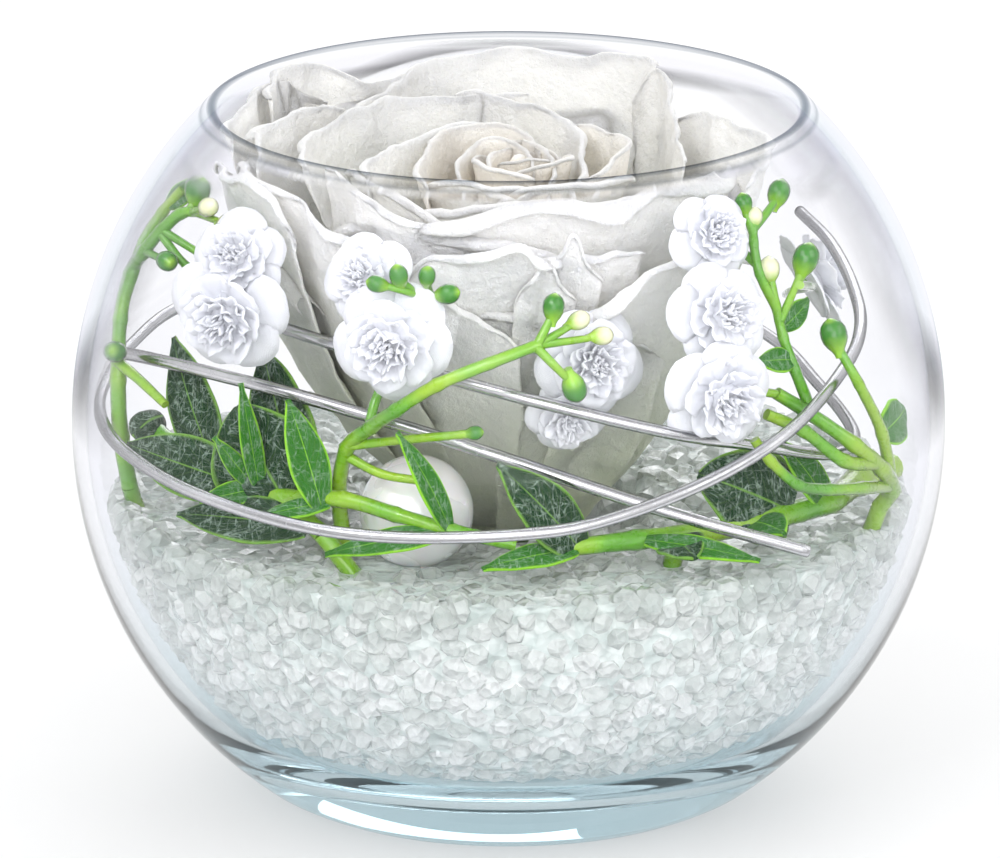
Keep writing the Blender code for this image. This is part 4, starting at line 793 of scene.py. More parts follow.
class BuildBowl(bpy.types.Operator):
    """Build the pressed glass globe."""
    bl_idname = "rose_globe.bowl"
    bl_label = "Glass globe"

    def execute(self, context):
        bowl = context.scene.bowl
        shape = GlobeShape(bowl)
        top = shape.lip_angle()
        bottom = -math.acos(1.13 * bowl.base_radius / shape.radius)
        edge = 0.0012
        profile = [(0.0, 0.0004), (bowl.base_radius * 0.55, 0.0004), (bowl.base_radius * 0.66, 0.0),
                   (bowl.base_radius - edge, 0.0), (bowl.base_radius - edge * 0.4, edge * 0.08),
                   (bowl.base_radius, edge / 3)]
        low = shape.outer(bottom)
        foot = profile[-1]
        for i in range(1, 5):
            t = i / 5
            profile.append((foot[0] + (low[0] - foot[0]) * t ** 0.8, foot[1] + (low[1] - foot[1]) * t))
        rows = 64
        profile += [shape.outer(bottom + (top - bottom) * i / rows) for i in range(rows + 1)]
        n = shape.normal(top)
        r, z = shape.outer(top)
        first = math.atan2(n.y, n.x)
        middle = (r - n.x * shape.lip, z - n.y * shape.lip)
        profile += [(middle[0] + shape.lip * math.cos(first + math.pi * i / 12),
                     middle[1] + shape.lip * math.sin(first + math.pi * i / 12)) for i in range(1, 12)]
        start = shape.corner_start()[0]
        profile += [shape.inner(top + (start - top) * i / rows) for i in range(rows)]
        profile += shape.corner(14)
        profile += [(0.012, bowl.floor_height), (0.0, bowl.floor_height)]
        mesh = turned_mesh("glass_bowl", profile, 160)
        finish_piece("glass_bowl", mesh, [glass_finish(bowl)], ["glass_globe"])
        return {"FINISHED"}


def granule_tree():
    """Geometry Nodes tree that scatters glass chips over a surface."""
    tree, start, names = new_tree("scatter_granules", [
        ("Smallest gap", "NodeSocketFloat"), ("Size", "NodeSocketFloat"), ("Spread", "NodeSocketFloat"),
        ("Seed", "NodeSocketInt"), ("Material", "NodeSocketMaterial")])
    seed, size, spread = (start.outputs[n] for n in ("Seed", "Size", "Spread"))
    points = add(tree, "GeometryNodeDistributePointsOnFaces", {"distribute_method": "POISSON"}, {
        "Mesh": start.outputs["Geometry"], "Distance Min": start.outputs["Smallest gap"],
        "Density Max": 400000.0, "Seed": seed})
    cube = add(tree, "GeometryNodeMeshCube", values={
        "Size": (1.0, 1.0, 1.0), "Vertices X": 3, "Vertices Y": 3, "Vertices Z": 3})
    place = add(tree, "GeometryNodeInputPosition").outputs[0]
    ball = add(tree, "ShaderNodeVectorMath", {"operation": "NORMALIZE"}, {0: place})
    half = add(tree, "ShaderNodeVectorMath", {"operation": "SCALE"}, {0: ball.outputs[0], "Scale": 0.5})
    chip = add(tree, "GeometryNodeSetPosition", values={"Geometry": cube.outputs[0], "Position": half.outputs[0]})
    turn = add(tree, "FunctionNodeRandomValue", {"data_type": "FLOAT_VECTOR"},
               {"Max": (6.283, 6.283, 6.283), "Seed": seed})
    low = maths(tree, "MULTIPLY", size, maths(tree, "SUBTRACT", 1.0, spread))
    high = maths(tree, "MULTIPLY", size, maths(tree, "ADD", 1.0, spread))
    lows = add(tree, "ShaderNodeCombineXYZ", values={0: low, 1: low, 2: low}).outputs[0]
    highs = add(tree, "ShaderNodeCombineXYZ", values={0: high, 1: high, 2: high}).outputs[0]
    wide = add(tree, "FunctionNodeRandomValue", {"data_type": "FLOAT_VECTOR"},
               {"Min": lows, "Max": highs, "Seed": maths(tree, "ADD", seed, 3.0)})
    chips = add(tree, "GeometryNodeInstanceOnPoints", values={
        "Points": points.outputs["Points"], "Instance": chip.outputs[0], "Rotation": turn.outputs[0],
        "Scale": wide.outputs[0]})
    milk = add(tree, "FunctionNodeRandomValue", {"data_type": "FLOAT"}, {"Seed": maths(tree, "ADD", seed, 9.0)})
    milk_value = next(o for o in milk.outputs if o.identifier == "Value_001")
    marked = add(tree, "GeometryNodeStoreNamedAttribute", {"data_type": "FLOAT", "domain": "INSTANCE"}, {
        "Geometry": chips.outputs[0], "Name": GRAIN, "Value": milk_value})
    whole = add(tree, "GeometryNodeRealizeInstances", values={"Geometry": marked.outputs[0]})
    lumps = add(tree, "ShaderNodeTexNoise", values={
        "Vector": add(tree, "GeometryNodeInputPosition").outputs[0], "Scale": 420.0, "Detail": 1.0})
    push = maths(tree, "MULTIPLY", maths(tree, "SUBTRACT", lumps.outputs[0], 0.5), 0.0013)
    way = add(tree, "GeometryNodeInputNormal").outputs[0]
    shift = add(tree, "ShaderNodeVectorMath", {"operation": "SCALE"}, {0: way, "Scale": push})
    rough = add(tree, "GeometryNodeSetPosition", values={"Geometry": whole.outputs[0], "Offset": shift.outputs[0]})
    dressed = add(tree, "GeometryNodeSetMaterial", values={
        "Geometry": rough.outputs[0], "Material": start.outputs["Material"]})
    add(tree, "NodeGroupOutput", values={0: dressed.outputs[0]})
    return tree, names


# the hole under the rose as (radius, height): room for the stem, the calyx and the lowest petals
WELL = [(0.0, 0.0226), (0.0034, 0.0226), (0.0034, 0.0286), (0.0089, 0.0286), (0.0089, 0.0325), (0.0180, 0.0325),
        (0.0226, 0.0392)]


class BuildGranules(bpy.types.Operator):
    """Build the glass granules: a layer against the glass, a layer on top, and the heap inside."""
    bl_idname = "rose_globe.granules"
    bl_label = "Granules"

    def execute(self, context):
        granules = context.scene.granules
        shape = GlobeShape(context.scene.bowl)
        finish = granule_finish(granules)
        biggest = granules.size * (1 + granules.spread) / 2 + 0.0010
        side = turned_mesh("side", shape.filling_side(granules.level - 0.0022, biggest, 24)
                           + [(0.0, context.scene.bowl.floor_height + biggest)], 96)
        self.scatter("granules_at_glass", side, granules, finish, granules.seed, ["granule_filling"])
        level = granules.level - biggest + 0.0012
        rim = shape.filling_side(granules.level - 0.0022, biggest, 24)[0][0]
        top = self.level_mesh(level - 0.0004, rim, context)
        self.scatter("granules_on_top", top, granules, finish, granules.seed + 1, ["granule_filling"], 1.12)
        heap = shape.filling_side(granules.level - 0.0017, 0.0024, 24)
        heap = WELL[:-1] + [(0.0216, granules.level - 0.0017)] + heap + [(0.0, context.scene.bowl.floor_height + 0.0024)]
        mesh = turned_mesh("granule_heap", heap, 72)
        mesh.flip_normals()
        finish_piece("granule_heap", mesh, [core_finish(granules)], ["granule_filling"])
        return {"FINISHED"}

    @staticmethod
    def level_mesh(level, rim, context):
        """The level between the rose and the glass, hollow under the pearl."""
        bm = bmesh.new()
        step = 0.0015
        count = int(rim / step) + 1
        pearl = (PEARL_LOW + PEARL_HIGH) / 2
        grid = {}
        for j in range(-count, count + 1):
            for i in range(-count, count + 1):
                x, y = i * step, j * step
                r = math.hypot(x, y)
                away = math.hypot(x - pearl.x, y - pearl.y)
                if WELL[-1][0] < r < rim and away > 0.0072:
                    lift = 0.0006 * noise.noise(Vector((x, y, 0)) * 120)
                    grid[i, j] = bm.verts.new((x, y, level + lift))
        for (i, j), corner in grid.items():
            square = [grid.get(k) for k in ((i, j), (i + 1, j), (i + 1, j + 1), (i, j + 1))]
            if all(square):
                bm.faces.new(square)
        rings = [[bm.verts.new((r * math.cos(math.tau * k / 48), r * math.sin(math.tau * k / 48), z))
                  for k in range(48)] for r, z in ((0.0110, 0.0322), (0.0184, 0.0322), (0.0224, level - 0.0004))]
        for low, high in zip(rings, rings[1:]):
            for k in range(48):
                bm.faces.new((low[k], low[k - 1], high[k - 1], high[k]))
        mesh = bpy.data.meshes.new("level")
        bm.to_mesh(mesh)
        bm.free()
        return mesh

    @staticmethod
    def scatter(name, surface, granules, finish, seed, nodes, share=1.0):
        holder = bpy.data.objects.new(name + "_surface", surface)
        bpy.context.scene.collection.objects.link(holder)
        tree, names = granule_tree()
        mesh = run_tree(holder, tree, names, {
            "Smallest gap": granules.gap * share, "Size": granules.size * share, "Spread": granules.spread, "Seed": seed,
            "Material": finish})
        finish_piece(name, mesh, [finish], nodes, 38)


# Heart petals: count, azimuth (0 = front, 90 = right), half width in degrees, root, belly and lip as
# (radius, height) in millimetres, roll of the lip, how far the lip's corners drop, lean, point and wave
HEART_RINGS = [
    (2, 20, 96, (1.6, 78.0), (3.4, 84.0), (3.4, 90.0), 0.3, 0.10, 0.9, 0.2, 0.15),
    (3, 60, 76, (4.0, 76.0), (6.0, 83.0), (6.4, 90.0), 0.5, 0.12, 1.1, 0.3, 0.2),
]
FILL_PETALS = [
    (1, 340, 50, (8.0, 72.0), (12.0, 80.0), (12.6, 88.6), 0.8, 0.14, 1.3, 0.3, 0.3),
    (1, 40, 50, (10.0, 72.0), (14.2, 80.0), (14.8, 88.8), 0.9, 0.14, 1.3, 0.3, 0.3),
    (1, 5, 54, (13.0, 68.0), (20.0, 77.0), (20.6, 88.2), 1.2, 0.16, 1.4, 0.4, 0.4),
    (1, 300, 40, (13.0, 66.0), (21.0, 76.0), (21.8, 89.6), 1.2, 0.16, 1.4, 0.4, 0.4),
    (1, 62, 44, (14.0, 60.0), (24.0, 74.0), (26.0, 88.6), 2.0, 0.18, 1.5, 0.6, 0.6),
    (1, 338, 42, (15.0, 54.0), (26.0, 68.0), (28.5, 86.5), 2.4, 0.16, 1.5, 0.3, 0.7),
    (1, 208, 44, (15.0, 46.0), (28.0, 62.0), (34.5, 90.0), 3.0, 0.18, 1.4, 0.5, 1.0),
    (1, 160, 44, (15.0, 44.0), (26.5, 60.0), (33.0, 88.0), 3.0, 0.18, 1.4, 0.5, 0.9),
    (1, 112, 40, (15.0, 43.0), (25.5, 60.0), (30.0, 86.0), 2.6, 0.20, 1.4, 0.7, 0.9),
    (1, 262, 42, (15.0, 43.0), (27.0, 60.0), (34.0, 86.0), 3.0, 0.20, 1.4, 0.8, 1.1),
    (1, 352, 40, (13.5, 41.0), (22.5, 55.0), (29.0, 76.0), 2.2, 0.20, 1.4, 0.8, 0.8),
]
# Petals given by their lip: azimuth of the root, root radius and height, half width of the root, bulge,
# roll of the lip, and the places that the lip runs through, all in millimetres and degrees
LIP_PETALS = [
    (292, 13, 42, 32, -2.0, 1.8, [(-37.5, 10.0, 83.0), (-38.8, 4.0, 86.9), (-38.2, -3.0, 88.4), (-36.3, -9.0, 89.6),
                                  (-33.3, -15.0, 90.4), (-30.0, -19.5, 88.2), (-28.0, -23.0, 82.5)]),
    (312, 13, 42, 34, -2.0, 2.6, [(-36.4, 4.0, 84.5), (-35.6, 0.0, 87.8), (-33.4, -7.0, 90.0), (-29.7, -15.0, 89.2),
                                  (-25.6, -22.0, 86.3), (-21.0, -27.0, 85.2), (-14.9, -30.5, 83.0)]),
    (325, 14, 50, 30, 0.0, 2.2, [(-24.5, -12.0, 90.7), (-21.6, -17.0, 91.0), (-19.4, -22.0, 90.0),
                                 (-14.4, -26.0, 88.0), (-9.3, -28.0, 86.8), (-4.2, -28.5, 87.6)]),
    (15, 13, 44, 40, -1.5, 4.2, [(-14.0, -25.5, 85.5), (-7.3, -27.5, 89.0), (-0.5, -27.5, 90.8), (6.5, -27.0, 91.4),
                                 (13.4, -25.0, 91.2), (19.7, -20.5, 91.2), (25.5, -13.0, 91.0), (30.2, -5.0, 89.4)]),
    (10, 12, 42, 34, -3.0, 2.2, [(-14.0, -29.5, 80.0), (-11.7, -31.0, 83.2), (-8.0, -31.8, 84.4), (-3.9, -32.4, 85.3),
                                 (0.6, -32.4, 86.3), (4.0, -31.8, 84.4), (12.0, -29.5, 84.0), (17.5, -26.5, 83.0)]),
    (14, 12, 44, 12, -4.0, 0.9, [(4.0, -32.0, 80.5), (6.6, -33.0, 84.2), (8.4, -33.6, 87.4), (9.8, -33.2, 84.0),
                                 (12.4, -31.4, 80.0)]),
    (6, 12, 44, 12, -4.0, 0.8, [(0.6, -32.6, 77.5), (3.0, -33.6, 82.0), (4.4, -34.0, 84.2), (6.2, -34.0, 81.6),
                                (9.0, -32.8, 78.0)]),
    (44, 12, 41, 34, -3.5, 3.0, [(7.4, -32.6, 73.6), (11.4, -32.4, 78.0), (15.8, -30.6, 80.8), (20.5, -27.6, 82.6),
                                 (24.5, -24.4, 83.2), (27.4, -21.0, 83.0), (30.0, -15.0, 80.4), (30.8, -8.0, 77.6)]),
    (340, 12, 40, 30, -3.5, 1.8, [(-22.0, -21.0, 74.5), (-17.0, -26.5, 78.6), (-11.0, -29.8, 78.8), (-4.6, -31.0, 76.0),
                                  (1.6, -31.4, 70.8)]),
    (20, 12, 39, 28, -3.0, 1.5, [(-2.0, -27.6, 66.0), (3.0, -28.8, 71.4), (9.0, -28.6, 73.0), (15.0, -26.4, 71.6),
                                 (21.0, -22.0, 66.0)]),
    (86, 13, 44, 34, -0.5, 2.0, [(21.4, 22.0, 88.5), (25.2, 16.0, 90.9), (29.7, 8.0, 92.0), (33.0, 1.0, 92.2),
                                 (33.6, -7.0, 91.4), (31.8, -14.0, 89.0)]),
    (118, 12, 56, 20, 0.5, 1.0, [(17.2, 27.0, 89.9), (18.9, 25.0, 93.5), (20.7, 23.0, 95.4), (21.6, 17.0, 93.8),
                                 (22.6, 9.0, 91.4), (23.3, 0.0, 88.6)]),
    (180, 12, 56, 44, -0.5, 3.6, [(-21.5, 12.0, 91.9), (-17.0, 20.0, 93.5), (-11.5, 28.0, 94.6), (-5.3, 34.0, 95.8),
                                  (1.6, 35.0, 95.3), (7.9, 34.0, 94.3), (13.4, 33.0, 95.2), (17.5, 30.0, 96.0),
                                  (19.7, 27.0, 94.6)]),
    (232, 13, 52, 24, -2.0, 3.2, [(-32.8, 14.0, 93.6), (-31.4, 20.0, 95.6), (-29.0, 24.4, 96.4), (-26.4, 28.0, 95.8),
                                  (-23.0, 29.6, 94.0), (-19.6, 30.0, 92.3), (-13.3, 32.0, 91.8)]),
    (262, 13, 48, 32, -0.5, 3.0, [(-37.6, 2.0, 90.4), (-36.8, 8.0, 92.4), (-34.2, 14.0, 94.1), (-31.1, 20.0, 95.0),
                                  (-27.8, 24.0, 93.4), (-24.5, 25.0, 91.0)]),
    (272, 12, 54, 26, 0.0, 2.6, [(-33.9, -6.0, 89.7), (-33.0, 0.0, 91.8), (-30.0, 8.0, 92.6), (-25.6, 15.0, 92.6),
                                 (-21.8, 19.0, 91.0)]),
    (200, 10, 62, 60, 0.5, 2.4, [(-27.0, -11.0, 90.2), (-26.2, -2.0, 92.4), (-22.7, 8.0, 93.2), (-15.5, 14.0, 93.5),
                                 (-8.7, 17.0, 93.3), (-2.3, 20.0, 93.2), (3.0, 22.0, 92.5)]),
    (120, 9, 64, 50, 0.6, 2.2, [(-7.8, 21.0, 92.2), (-3.4, 19.0, 93.5), (1.2, 17.0, 92.6), (4.7, 13.0, 92.6),
                                (7.5, 7.0, 91.6), (9.1, -1.0, 90.4), (9.3, -9.0, 88.0)]),
    (262, 9, 66, 44, 0.5, 2.0, [(-18.8, -15.0, 89.5), (-17.7, -9.0, 91.2), (-14.6, -3.0, 91.6), (-9.7, 3.0, 91.9),
                                (-5.3, 8.0, 91.8), (-1.2, 11.0, 91.0)]),
    (250, 5, 70, 60, 0.5, 1.3, [(-10.8, -13.0, 88.0), (-11.2, -8.0, 89.8), (-10.2, -2.0, 91.2), (-6.9, 5.0, 91.9),
                                (-1.4, 7.0, 91.8), (2.1, 4.0, 91.2), (4.1, -1.0, 90.0)]),
    (190, 3.4, 74, 70, 0.5, 0.7, [(-6.4, -9.0, 88.0), (-6.4, -5.0, 89.8), (-3.4, 2.0, 90.9), (0.3, 1.0, 91.1),
                                  (2.5, -3.0, 90.4), (3.5, -8.0, 89.0)]),
    (110, 4.5, 72, 50, 0.5, 0.7, [(1.6, 3.0, 90.9), (3.5, 0.0, 90.8), (5.3, -3.0, 90.1), (6.0, -8.0, 88.9),
                                  (5.2, -13.0, 87.4)]),
    (95, 8, 64, 26, 0.5, 0.8, [(7.9, 10.0, 90.8), (11.2, 8.0, 91.2), (14.2, 5.0, 90.9), (15.6, 1.0, 91.1),
                               (13.4, -4.0, 90.1), (10.4, -9.0, 88.4)]),
]
ROSE_CORE = [(36.8, 0.0), (36.8, 7.6), (38.8, 11.0), (44.0, 13.0), (54.0, 15.2), (64.0, 16.4), (72.0, 14.0),
             (78.0, 8.0), (80.5, 0.0)]
HEART_CENTRE = Vector((1.5, -2.0, 0.0))
ROSE_TOP = 96.3


def settle(place, crumple, v):
    """Crumple a petal's point a little, keep it under the globe's height, and give it in metres."""
    place = place + noise.noise_vector(place * 0.09) * 1.3 * crumple * v
    place += noise.noise_vector(place * 0.27) * 0.45 * crumple
    place += noise.noise_vector(place * 0.70) * 0.12
    soft = ROSE_TOP - 2.5
    if place.z > soft:
        place.z = soft + 2.5 * math.tanh((place.z - soft) / 2.5)
    return place * 0.001


def ring_petal(azimuth, half_width, root, belly, lip, roll, drop, lean, point, wave, centre, wide, tall, draw):
    """Grid of points on a petal of the heart: rounded lip rolled outward, one side tucked under the next."""
    rows = []
    phase = draw.uniform(0, math.tau)
    bend = draw.uniform(-0.4, 0.4)
    for j in range(tall + 1):
        v = j / tall
        climb = min(1.0, v / 0.80)
        over = max(0.0, (v - 0.66) / 0.34)
        opening = 0.50 + 0.50 * math.sin(math.pi / 2 * min(1.0, v / 0.60))
        row = []
        for i in range(wide + 1):
            s = 2 * i / wide - 1
            t = climb * (1 - drop * abs(s) ** 2.6 * climb)
            r = root[0] * (1 - t) ** 2 + 2 * belly[0] * t * (1 - t) + lip[0] * t ** 2
            z = root[1] * (1 - t) ** 2 + 2 * belly[1] * t * (1 - t) + lip[1] * t ** 2
            curl = math.radians(125) * over ** 1.3 * (1 - 0.25 * bend * s)
            r += roll * math.sin(curl) + lean * s * v
            z -= roll * 0.62 * (1 - math.cos(curl))
            ripple = wave * v * v * (math.sin(3.1 * s + phase) * 0.6 + math.sin(7.3 * s + 2 * phase) * 0.25)
            r += ripple
            z += ripple * 0.35 + point * math.exp(-((s - 0.25 * bend) / 0.17) ** 2) * climb ** 6
            turn = math.radians(azimuth + half_width * opening * s)
            place = Vector((r * math.sin(turn), -r * math.cos(turn), z)) + centre
            row.append(settle(place, 0.5 if centre.length else 1.0, v))
        rows.append(row)
    return rows


def lip_petal(azimuth, root_radius, root_height, root_half, bulge, roll, lip, wide, tall, draw):
    """Grid of points on a petal that rises from its root to a given lip and rolls outward there."""
    line = [place for place, _ in smooth_route([Vector(p) for p in lip], 0.25)]
    reach = [0.0]
    for a, b in zip(line, line[1:]):
        reach.append(reach[-1] + (b - a).length)
    phase = draw.uniform(0, math.tau)
    centre = HEART_CENTRE if root_radius < 9 else Vector((0.0, 0.0, 0.0))
    columns = []
    n = 0
    for i in range(wide + 1):
        target = reach[-1] * i / wide
        while n < len(reach) - 2 and reach[n + 1] < target:
            n += 1
        share = (target - reach[n]) / max(reach[n + 1] - reach[n], 1e-9)
        top = line[n].lerp(line[n + 1], share)
        s = 2 * i / wide - 1
        turn = math.radians(azimuth + root_half * s)
        root = Vector((math.sin(turn), -math.cos(turn), 0.0)) * root_radius + centre
        root.z = root_height
        away = (top - centre) * Vector((1, 1, 0))
        away.normalize()
        middle = top + away * bulge
        middle.z = root.z + (top.z - root.z) * 0.45
        edge = (1 - abs(s) ** 3) * max(0.05, 0.72 + 1.3 * noise.noise(Vector((s * 1.9, phase, azimuth))))
        columns.append((root, middle, top, away, roll * 1.3 * (0.12 + 0.88 * edge), s))
    rows = []
    for j in range(tall + 1):
        v = j / tall
        t = min(1.0, v / 0.82)
        over = max(0.0, (v - 0.60) / 0.40)
        row = []
        for root, middle, top, away, curl_radius, s in columns:
            place = root * (1 - t) ** 2 + middle * (2 * t * (1 - t)) + top * t ** 2
            curl = math.radians(92) * over ** 1.2
            place += away * curl_radius * math.sin(curl)
            place.z -= curl_radius * 0.72 * (1 - math.cos(curl))
            ripple = 1.5 * v ** 3 * noise.noise(Vector((2.6 * s, phase, 0.0)))
            ripple += 0.9 * v ** 5 * noise.noise(Vector((7.5 * s, phase, 9.0)))
            ripple *= min(1.0, roll / 2.0)
            place += away * ripple
            place.z += 0.35 * ripple
            row.append(settle(place, 1.0 if root_radius > 9 else 0.5, v))
        rows.append(row)
    return rows


class BuildRose(bpy.types.Operator):
    """Build the preserved rose: heart, petals in rings and the core that holds them."""
    bl_idname = "rose_globe.rose"
    bl_label = "Rose"

    def execute(self, context):
        flower = context.scene.flower
        draw = random.Random(5)
        draft = Draft()
        centre = Vector((0.0, 0.0, 0.0))
        draft.lathe([(z * 0.001, r * 0.001) for z, r in ROSE_CORE], centre, Vector((0, 0, 1)), 48, 0)
        bud = [(0.0765, 0.0), (0.0765, 0.0020), (0.084, 0.0025), (0.0885, 0.0017), (0.0898, 0.0008), (0.0901, 0.0)]
        draft.lathe(bud, HEART_CENTRE * 0.001, Vector((0, 0, 1)), 24, 1)
        for rings, middle, finish in ((HEART_RINGS, HEART_CENTRE, 1), (FILL_PETALS, centre, 0)):
            for count, first, *form in rings:
                for k in range(count):
                    rows = ring_petal(first + 360 * k / count, *form, middle, 24, 18, draw)
                    draft.sheet(rows, flower.petal_thickness, finish)
        for petal in LIP_PETALS:
            rows = lip_petal(*petal, 50, 33, draw)
            draft.sheet(rows, flower.petal_thickness, 1 if petal[1] < 9 else 0)
        # The second finish, for the heart petals, fades to the heart colour: partly the heart's own cream, partly
        # painted shade deep in it.
        finishes = [petal_finish(flower, "ivory_petal", flower.petal_colour, flower.base_colour,
                                 [(0.30, 1.0), (0.62, 0.35), (0.90, 0.0)]),
                    petal_finish(flower, "cream_heart", flower.petal_colour, flower.heart_colour,
                                 [(0.45, 1.0), (0.85, 0.60), (1.10, 0.1)])]
        finish_piece("rose_petals", draft.mesh("rose_petals"), finishes, ["rose_bloom"])
        return {"FINISHED"}


class BuildCalyx(bpy.types.Operator):
    """Build the green cup and stem under the rose."""
    bl_idname = "rose_globe.calyx"
    bl_label = "Calyx"

    def execute(self, context):
        foliage = context.scene.foliage
        draft = Draft()
        cup = [(24.0, 0.0), (24.0, 2.0), (24.3, 2.2), (30.0, 2.4), (31.2, 3.4), (32.0, 4.8), (34.0, 6.6),
               (35.4, 7.0), (36.0, 6.8), (36.0, 0.0)]
        draft.lathe([(z * 0.001, r * 0.001) for z, r in cup], Vector(), Vector((0, 0, 1)), 32, 0)
        for k in range(5):
            turn = math.tau * (k + 0.3) / 5
            away = Vector((math.sin(turn), -math.cos(turn), 0.0))
            base = away * 0.0045 + Vector((0, 0, 0.0345))
            tip = away * 0.0125 + Vector((0, 0, 0.0355))
            draft.sheet(leaf_grid(base, tip, Vector((0, 0, 1)), 0.0050, -0.04, 0.0, 8, 10), 0.0007, 0)
        finish = leaf_finish(foliage, "calyx_green", (0.10, 0.19, 0.05), (0.20, 0.34, 0.07), 0.3, 0.5)
        finish_piece("calyx_and_stem", draft.mesh("calyx_and_stem"), [finish], ["rose_calyx"])
        return {"FINISHED"}


def leaf_grid(base, tip, facing, width, bow, fold, wide=10, tall=22, stalk=0.12, phase=0.0):
    """Grid of points on a leaf: folded at its midrib, arched, its edge slightly wavy."""
    length = tip - base
    side = length.cross(facing).normalized()
    face = side.cross(length).normalized()
    round_leaf = width > 0.0095
    grid = []
    for j in range(tall + 1):
        t = j / tall
        swell = math.sin(math.pi * min(1.0, (t + stalk) / (1 + stalk)) ** (0.86 if round_leaf else 0.9))
        swell = max(swell, 0.0) ** (0.62 if round_leaf else 0.85)
        half = max(width / 2 * swell, 0.00035)
        spine = base + length * t + face * length.length * bow * math.sin(math.pi * t)
        row = []
        for i in range(wide + 1):
            c = 2 * i / wide - 1
            lift = half * fold * abs(c) ** 1.3
            lift += width * 0.018 * math.sin(t * 17 + phase + (1.5 if c > 0 else 0)) * c * c
            lift += width * 0.008 * math.sin(t * 34 - abs(c) * 9) * abs(c) * (1 - abs(c))
            row.append(spine + side * half * c + face * lift)
        grid.append(row)
    return grid


FRONT = Vector((0.0, -1.0, 0.35))
LEFT_SPRIG_STEMS = [
    ([at(-49.3, -9.4, 54.0), at(-45.5, -14.0, 52.2), at(-39.0, -22.0, 50.5), at(-31.0, -30.0, 49.8),
      at(-22.0, -36.8, 51.2), at(-15.0, -40.6, 50.2), at(-8.0, -42.2, 48.6), at(1.0, -42.5, 46.6)],
     0.0014, 0.0009),
    ([at(-30.5, -30.5, 49.7), at(-25.0, -35.5, 46.0)], 0.0013, 0.0013),
    ([at(-17.0, -38.5, 36.0), at(-25.0, -35.5, 46.0)], 0.0013, 0.0013),
]
LEFT_SPRIG_NUB = (at(-48.2, -8.8, 53.8), at(-50.0, -12.4, 54.2), 0.0021)
LEFT_SPRIG_LEAVES = [
    (at(-35.5, -26.0, 50.0), at(-51.6, -14.5, 52.6), FRONT + Vector((-0.5, 0, 0)), 0.0085, 0.05, 0.1),
    (at(-39.5, -20.5, 50.6), at(-45.6, -5.2, 65.0), FRONT + Vector((-0.6, 0, 0)), 0.0076, 0.04, 0.1),
    (at(-30.0, -30.5, 49.2), at(-36.5, -27.5, 61.6), FRONT + Vector((-0.4, 0, 0)), 0.0150, 0.06, 0.05),
    (at(-27.5, -30.0, 49.6), at(-33.0, -20.0, 67.0), FRONT + Vector((-0.6, 0, 0)), 0.0100, 0.02, 0.1),
    (at(-27.0, -34.6, 46.8), at(-44.5, -28.0, 46.6), FRONT + Vector((0, 0, 0.4)), 0.0070, 0.02, 0.1),
    (at(-25.2, -36.2, 50.2), at(-29.6, -34.8, 64.6), FRONT + Vector((0.3, 0, 0)), 0.0056, 0.03, 0.15),
    (at(-24.0, -36.0, 50.4), at(-33.5, -36.5, 48.6), FRONT + Vector((0, 0, 0.8)), 0.0030, 0.03, 0.1),
    (at(-33.5, -29.5, 50.5), at(-35.8, -33.5, 66.5), FRONT, 0.0030, 0.03, 0.15),
    (at(-34.0, -28.8, 50.4), at(-41.5, -32.0, 49.6), FRONT, 0.0034, 0.05, 0.1),
    (at(-34.5, -29.0, 51.0), at(-39.5, -31.5, 58.4), FRONT, 0.0028, 0.05, 0.1),
    (at(-8.0, -42.4, 48.8), at(-14.8, -46.5, 63.4), FRONT + Vector((0.5, 0, 0)), 0.0036, 0.05, 0.2),
    (at(-8.5, -42.6, 48.2), at(-24.5, -44.0, 45.6), FRONT + Vector((0, 0, 0.8)), 0.0040, 0.03, 0.1),
]
RIGHT_SPRIG_STEMS = [
    ([at(52.4, -6.5, 47.0), at(47.5, -13.0, 46.8), at(43.5, -20.5, 46.4), at(36.0, -27.5, 46.0),
      at(27.0, -33.5, 45.8), at(17.0, -37.0, 45.6), at(8.0, -40.0, 45.4)], 0.0020, 0.0012),
    ([at(20.5, -32.0, 35.0), at(23.0, -35.0, 45.6)], 0.0013, 0.0013),
]
RIGHT_SPRIG_LEAVES = [
    (at(38.0, -26.5, 46.5), at(25.5, -31.5, 53.2), FRONT + Vector((0.2, 0, 0.2)), 0.0130, 0.05, 0.08),
    (at(33.0, -30.5, 46.0), at(37.0, -37.0, 46.4), FRONT + Vector((0, 0, 1.0)), 0.0060, 0.05, 0.08),
    (at(43.0, -22.0, 46.0), at(36.3, -26.0, 56.5), FRONT + Vector((0.7, 0, 0)), 0.0048, 0.06, 0.2),
    (at(22.0, -36.4, 45.4), at(25.0, -44.6, 45.2), FRONT + Vector((0, 0, 0.8)), 0.0068, 0.04, 0.1),
    (at(18.5, -38.0, 45.8), at(33.5, -44.6, 45.0), FRONT + Vector((0, 0, 0.6)), 0.0034, 0.03, 0.2),
    (at(9.5, -39.8, 45.2), at(-1.5, -45.5, 58.6), FRONT + Vector((0.3, 0, 0.1)), 0.0078, 0.05, 0.15),
    (at(9.0, -40.5, 45.2), at(-3.5, -48.0, 44.8), FRONT + Vector((0, 0, 0.8)), 0.0040, 0.03, 0.1),
]
